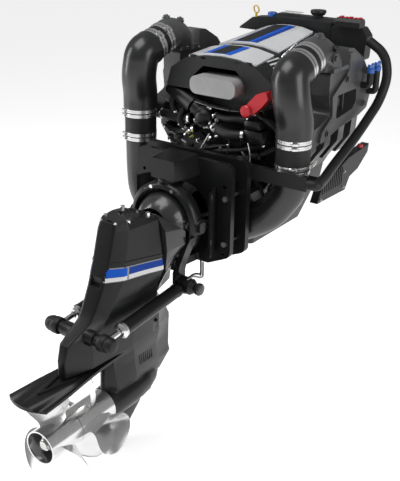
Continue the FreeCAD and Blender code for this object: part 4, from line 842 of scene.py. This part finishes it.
def add_plug(mesh, node, start, along, boss_r, boss_out, head_r, head_out, sides):
    """Boss and hexagon where a ray meets a casting."""
    point, normal = surface(node, start, along)
    if point is not None:
        add_rod(mesh, boss_r, point - normal * 2, point + normal * boss_out, sides)
        add_rod(mesh, head_r, point + normal * boss_out, point + normal * head_out, 6)


for side, name in SIDES:
    inward = (-side, 0, 0)
    riser, manifold = f"riser_elbow_{name}", f"exhaust_manifold_{name}"
    mesh = bmesh.new()
    for x, y in RISER_TOPS:
        add_plug(mesh, riser, (side * x, y, 800), (0, 0, -1), 15, 7, 10, 13, 28)
    add_plug(mesh, riser, (side * ENGINE_REACH, *RISER_SIDE), inward, 17, 5, 10, 12, 28)
    for y, z in MANIFOLD_PLUGS:
        add_plug(mesh, manifold, (side * ENGINE_REACH, y, z), inward, 13, 4, 8, 9, 26)
    piece(f"manifold_plugs_{name}", mesh, MANIFOLD_GREY, ROOT)
    mesh = bmesh.new()
    for x, y in RISER_BOLTS:
        add_bolt(mesh, (side * x, y, 486 if y > 350 else 500), (0, 0, 1), 9, 6)
    piece(f"riser_bolts_{name}", mesh, ZINC, ROOT)
    tube(f"riser_hose_stub_{name}",
         [(side * 346, 300, 560), (side * 374, 292, 570), (side * 390, 286, 566)], 11,
         HOSE_BLACK, ROOT)
    slant = Vector((side, 0, 1)).normalized()
    mesh = bmesh.new()
    leads = []
    for k in range(COIL_COUNT):
        start = Vector((side * 234, 258 + COIL_PITCH * k, 234)) + slant * 300
        point, _ = surface(f"valve_cover_{name}", start, -slant)
        if point is None:
            continue
        middle = point + slant * 10
        add_box(mesh, middle - COIL_HALF, middle + COIL_HALF, turn=slant.to_track_quat("Z", "Y"),
                bevel=4)
        add_rod(mesh, 9, point + slant * 18, point + slant * 30, 18)
        leads.append(point + slant * 28)
    piece(f"ignition_coils_{name}", mesh, MOULDED_BLACK, ROOT)
    for k, top in enumerate(leads):
        tube(f"plug_lead_{name}_{k + 1}",
             [top, top + slant * 16, top + Vector((side * 26, 14, -20)),
              top + Vector((side * 20, 22, -70))], 3.6, HOSE_BLACK, ROOT, 8)
    rail = [Vector((side * (234 + s * 36), 226 + 70 * k, 234 - s * 36)) + slant * 300
            for k in range(7) for s in (-1, 1)]
    bolts_on(f"valve_cover_bolts_{name}", f"valve_cover_{name}", rail, -slant, ZINC, 6, 4)
print("top ends dressed")

# %% [markdown]
# ## Sides, front and sump
# The sides of the block carry core plugs and the sump a rail of bolts; the front has the belt with its
# idlers, their brackets and two coolant hoses.

# %% Block, sump and bell bolts
BELL_BOLT_COUNT, BELL_BOLT_R = 14, 172
INNER_PLATE_BOLTS = ((150, -60), (-150, -60), (196, 120), (-196, 120), (196, -120), (-196, -120),
                     (60, 184), (-60, 184))

for side, name in SIDES:
    mesh = bmesh.new()
    for k in range(4):
        point, normal = surface("engine_block", (side * 400, 250 + 110 * k, 40), (-side, 0, 0))
        if point is not None:
            add_button(mesh, [(-1, 0), (-1, 22), (2, 22), (3, 20), (-0.5, 17), (-0.5, 0)], point,
                       normal, 30)
    piece(f"core_plugs_{name}", mesh, ZINC, ROOT)
    bolts_on(f"sump_bolts_{name}", "oil_pan", [(side * 140, 214 + 52 * k, 0) for k in range(9)],
             (0, 0, -1), ZINC, 6, 4)
turns = [math.tau * (k + 0.5) / BELL_BOLT_COUNT for k in range(BELL_BOLT_COUNT)]
bolts_on("bell_bolts", "flywheel_housing",
         [(BELL_BOLT_R * math.cos(turn), 0, BELL_BOLT_R * math.sin(turn)) for turn in turns],
         (0, 1, 0), ZINC, 10, 7)
bolts_on("inner_plate_bolts", "inner_transom_plate", [(x, 300, z) for x, z in INNER_PLATE_BOLTS],
         (0, -1, 0), ZINC, 12, 8)
print("block, sump, bell and inner plate bolts")

# %% [markdown]
# A belt lies on each pulley from where it meets the one before to where it leaves for the next. The
# outline is the string of those arcs; the straight runs come by themselves between them.

# %% Belt drive at the front
PULLEYS = ((0, 0, 82.0), (-150, 210, 40.0), (-40, 380, 36.0), (246, 500, 34.5), (150, 190, 42.0))
BELT_Y, BELT_WIDTH, BELT_THICK = 732, 20, 4
ARC_STEP = 0.16


def leaving_angle(ax, az, ar, bx, bz, br):
    """Angle at which an outer tangent touches both of two circles, a first."""
    heading = math.atan2(bz - az, bx - ax)
    return heading + math.acos((ar - br) / math.hypot(bx - ax, bz - az))


def belt_loop(circles):
    """Outline of a belt that runs round pulleys given as (x, z, r), all on the inside."""
    outline = []
    for k, (x, z, r) in enumerate(circles):
        enter = leaving_angle(*circles[k - 1], x, z, r)
        leave = leaving_angle(x, z, r, *circles[(k + 1) % len(circles)])
        while leave > enter:
            leave -= math.tau
        steps = max(2, int(abs(enter - leave) / ARC_STEP))
        for j in range(steps + 1):
            turn = enter + (leave - enter) * j / steps
            outline.append((x + r * math.cos(turn), z + r * math.sin(turn)))
    return outline


mesh = bmesh.new()
inner = [mesh.verts.new(Vector((x, BELT_Y, z)) * MM) for x, z in belt_loop(PULLEYS)]
made = bmesh.ops.extrude_face_region(mesh, geom=[mesh.faces.new(inner)])
moved = [item for item in made["geom"] if isinstance(item, bmesh.types.BMVert)]
bmesh.ops.translate(mesh, verts=moved, vec=(0, BELT_WIDTH * MM, 0))
caps = [face for face in mesh.faces if len(face.verts) > 4]
bmesh.ops.delete(mesh, geom=caps, context="FACES_ONLY")
bmesh.ops.recalc_face_normals(mesh, faces=mesh.faces)
bmesh.ops.solidify(mesh, geom=list(mesh.faces), thickness=-BELT_THICK * MM)
piece("drive_belt", mesh, HOSE_BLACK, ROOT)
mesh = bmesh.new()
for x, z, r in (PULLEYS[1], PULLEYS[2], PULLEYS[4]):
    add_ring(mesh, [(0, r - 8), (0, r + 2), (3, r + 2), (3, r - 0.6), (25, r - 0.6), (25, r + 2),
                    (28, r + 2), (28, r - 8)], (x, 727, z), (0, 1, 0), 44)
    add_rod(mesh, r - 8, (x, 736, z), (x, 746, z), 36)
    add_rod(mesh, 12, (x, 690, z), (x, 752, z), 24)
    add_rod(mesh, 8, (x, 752, z), (x, 756, z), 6)
piece("idler_pulleys", mesh, ZINC, ROOT)
mesh = bmesh.new()
add_box(mesh, (-196, 704, 150), (-96, 726, 270), bevel=12)
add_box(mesh, (-90, 704, 330), (10, 726, 430), bevel=12)
add_box(mesh, (104, 704, 140), (200, 726, 250), bevel=12)
piece("accessory_brackets", mesh, ENGINE_BLACK, ROOT)
clamped_hose("front_hose_port",
             [(-150, 716, 552), (-190, 730, 500), (-206, 724, 430), (-196, 716, 370)], 19)
clamped_hose("front_hose_starboard",
             [(120, 716, 520), (100, 732, 470), (60, 732, 400), (30, 728, 330)], 18)
loom("front_loom", [(-120, 700, 520), (-20, 712, 500), (80, 712, 510), (180, 704, 560)], 5, 6, 1.8)
print("front dressed")

# %% [markdown]
# ## Caps, dipstick and boxes
# The last small parts are the ones a hand reaches for, so most of them have a colour: the yellow
# dipstick ring, blue and red caps, and the red lugs of the fuse box. The electrical boxes get bolts
# and fins, and the alternator's vents get flat black bars, which paint the shade inside their openings.

# %% Caps, dipstick and boxes
mesh = bmesh.new()
add_ring(mesh, [(-2, 13), (-2, 17), (2, 17), (2, 13)], (-178, 672, 612), (0.3, 1, 0.2), 30)
add_rod(mesh, 5, (-178, 672, 560), (-178, 672, 598), 14)
piece("dipstick_ring", mesh, DIPSTICK_YELLOW, ROOT)
mesh = bmesh.new()
add_button(mesh, [(0, 0), (0, 19), (8, 20), (16, 18), (18, 12), (18, 0)], (-112, 690, 588),
           (0, 0, 1), 30)
piece("blue_service_cap", mesh, BLUE_PLASTIC, ROOT)
mesh = bmesh.new()
add_box(mesh, (-60, 676, 612), (20, 716, 613.2), bevel=0.4)
piece("tank_pad", mesh, PANEL_SILVER, ROOT)
mesh = bmesh.new()
for k in range(5):
    add_box(mesh, (204 + 19 * k, 652, 618), (216 + 19 * k, 678, 621 if k % 2 else 623), bevel=1)
piece("fuse_box_lugs", mesh, RED_PLASTIC, ROOT)
mesh = bmesh.new()
add_button(mesh, [(0, 0), (0, 11), (9, 11), (11, 9), (11, 0)], (392, 536, 166), (0, 0, 1), 24)
add_button(mesh, [(0, 0), (0, 8), (8, 8), (9, 0)], (248, 300, 38), (0.3, 0, 1), 20)
piece("red_caps", mesh, RED_PLASTIC, ROOT)
bolts_on("control_box_bolts", "control_box",
         [(500, y, z) for y in (220, 400, 580) for z in (44, 104)], (-1, 0, 0), ZINC, 7, 4)
mesh = bmesh.new()
for k in range(11):
    add_box(mesh, (397, 230 + 15 * k, 60), (400, 235 + 15 * k, 128), bevel=0.8)
piece("control_box_fins", mesh, MOULDED_BLACK, ROOT)
# Flat black bars on the alternator face: painted shade inside its vent openings.
mesh = bmesh.new()
for k in range(9):
    add_box(mesh, (185 + 14 * k, 715, 480), (192 + 14 * k, 717.5, 560), bevel=0.8)
piece("alternator_vent_painted_shade", mesh, SHADE_AND_INSET_BLACK, ROOT)
mesh = bmesh.new()
for z in (20, -6):
    add_rod(mesh, 8, (207, 200, z), (207, 190, z), 6)
add_rod(mesh, 30, (207, 372, -15), (207, 384, -15), 30)
piece("starter_terminals", mesh, ZINC, ROOT)
tube("starter_cable", [(207, 190, 20), (214, 170, 60), (250, 176, 110), (320, 210, 150)], 7,
     HOSE_BLACK, ROOT)
print("small parts done")

# %% [markdown]
# ## Studio
# A pale floor under a white world, a soft key lamp above, a strip on the left and a fill on the right.
# The floor glows only for camera and mirror rays, and the world is white only for camera rays, so the
# background is bright while the light on the paint stays at a plain level.

# %% Floor
FLOOR_GAP_M = 0.004
FLOOR_HALF_M = 14.0
FLOOR_GLOW = 0.62
lowest = cad_box[0][2]
studio = bmesh.new()
bmesh.ops.create_grid(studio, x_segments=1, y_segments=1, size=FLOOR_HALF_M,
                      matrix=Matrix.Translation((0, 0, lowest - FLOOR_GAP_M)))
floor_data = bpy.data.meshes.new("studio_floor")
studio.to_mesh(floor_data)
studio.free()
floor = bpy.data.objects.new("studio_floor", floor_data)
bpy.context.scene.collection.objects.link(floor)
floor_paint = bpy.data.materials.new("studio_floor")
floor_paint.use_nodes = True
tree = floor_paint.node_tree
shader = tree.nodes["Principled BSDF"]
shader.inputs["Base Color"].default_value = (0.93, 0.93, 0.93, 1)
shader.inputs["Roughness"].default_value = 0.9
shader.inputs["Specular IOR Level"].default_value = 0.1
glow = tree.nodes.new("ShaderNodeEmission")
glow.inputs["Color"].default_value = (1, 1, 1, 1)
rays = tree.nodes.new("ShaderNodeLightPath")
dimmed = tree.nodes.new("ShaderNodeMath")
dimmed.operation = "MULTIPLY"
dimmed.inputs[1].default_value = FLOOR_GLOW
either = tree.nodes.new("ShaderNodeMath")
either.operation = "MAXIMUM"
tree.links.new(rays.outputs["Is Camera Ray"], either.inputs[0])
tree.links.new(rays.outputs["Is Glossy Ray"], either.inputs[1])
tree.links.new(either.outputs["Value"], dimmed.inputs[0])
tree.links.new(dimmed.outputs["Value"], glow.inputs["Strength"])
add = tree.nodes.new("ShaderNodeAddShader")
tree.links.new(shader.outputs["BSDF"], add.inputs[0])
tree.links.new(glow.outputs["Emission"], add.inputs[1])
tree.links.new(add.outputs["Shader"], tree.nodes["Material Output"].inputs["Surface"])
floor_data.materials.append(floor_paint)
print("floor at", round(lowest, 4))

# %% [markdown]
# The world lights the part weakly from all sides.

# %% World
WORLD_LIGHT = 0.26
world = bpy.data.worlds.new("studio_world")
bpy.context.scene.world = world
world.use_nodes = True
tree = world.node_tree
back = tree.nodes["Background"]
back.inputs["Color"].default_value = (1, 1, 1, 1)
rays = tree.nodes.new("ShaderNodeLightPath")
level = tree.nodes.new("ShaderNodeMapRange")
level.inputs["To Min"].default_value = WORLD_LIGHT
level.inputs["To Max"].default_value = 1.0
tree.links.new(rays.outputs["Is Camera Ray"], level.inputs["Value"])
tree.links.new(level.outputs["Result"], back.inputs["Strength"])
print("world light", WORLD_LIGHT)


# %% [markdown]
# Three soft area lamps, with places and sizes in metres and power in watts.

# %% Lamps
def lamp(name, at, aim, size, power):
    """Soft area lamp that looks at a point, in metres."""
    light = bpy.data.lights.new(name, "AREA")
    light.shape = "RECTANGLE"
    light.size = size[0]
    light.size_y = size[1]
    light.energy = power
    thing = bpy.data.objects.new(name, light)
    thing.location = at
    thing.rotation_euler = (Vector(aim) - Vector(at)).to_track_quat("-Z", "Y").to_euler()
    bpy.context.scene.collection.objects.link(thing)


lamp("key_above", (-0.6, -1.0, 3.2), (0, 0.1, 0.1), (2.4, 2.0), 60)
lamp("left_strip", (-2.9, -1.6, 0.9), (0, -0.3, 0.0), (0.7, 2.6), 42)
lamp("right_fill", (3.2, -0.2, 1.0), (0.2, 0.1, 0.0), (1.6, 2.2), 38)
print("three lamps")

# %% [markdown]
# The camera stands behind and to starboard, above the engine. Heading is its turn from straight
# ahead, drop its look downward, and tilt its roll.

# %% Camera
LENS_MM, SENSOR_MM = 62.67, 36.0
heading = math.radians(34.81)
drop = math.radians(23.286)
tilt = math.radians(0.959)
view_from = bpy.data.cameras.new("view")
view_from.lens = LENS_MM
view_from.sensor_width = SENSOR_MM
camera = bpy.data.objects.new("view", view_from)
camera.location = (1.6565, -2.3439, 1.0931)
forward = Vector((-math.sin(heading) * math.cos(drop), math.cos(heading) * math.cos(drop),
                  -math.sin(drop)))
level_right = Vector((math.cos(heading), math.sin(heading), 0))
level_up = level_right.cross(forward)
right = level_right * math.cos(tilt) + level_up * math.sin(tilt)
up = level_up * math.cos(tilt) - level_right * math.sin(tilt)
camera.rotation_euler = Matrix((right, up, -forward)).transposed().to_euler()
bpy.context.scene.collection.objects.link(camera)
bpy.context.scene.camera = camera
bpy.context.scene.view_settings.view_transform = "Standard"
print("camera with a", LENS_MM, "mm lens")
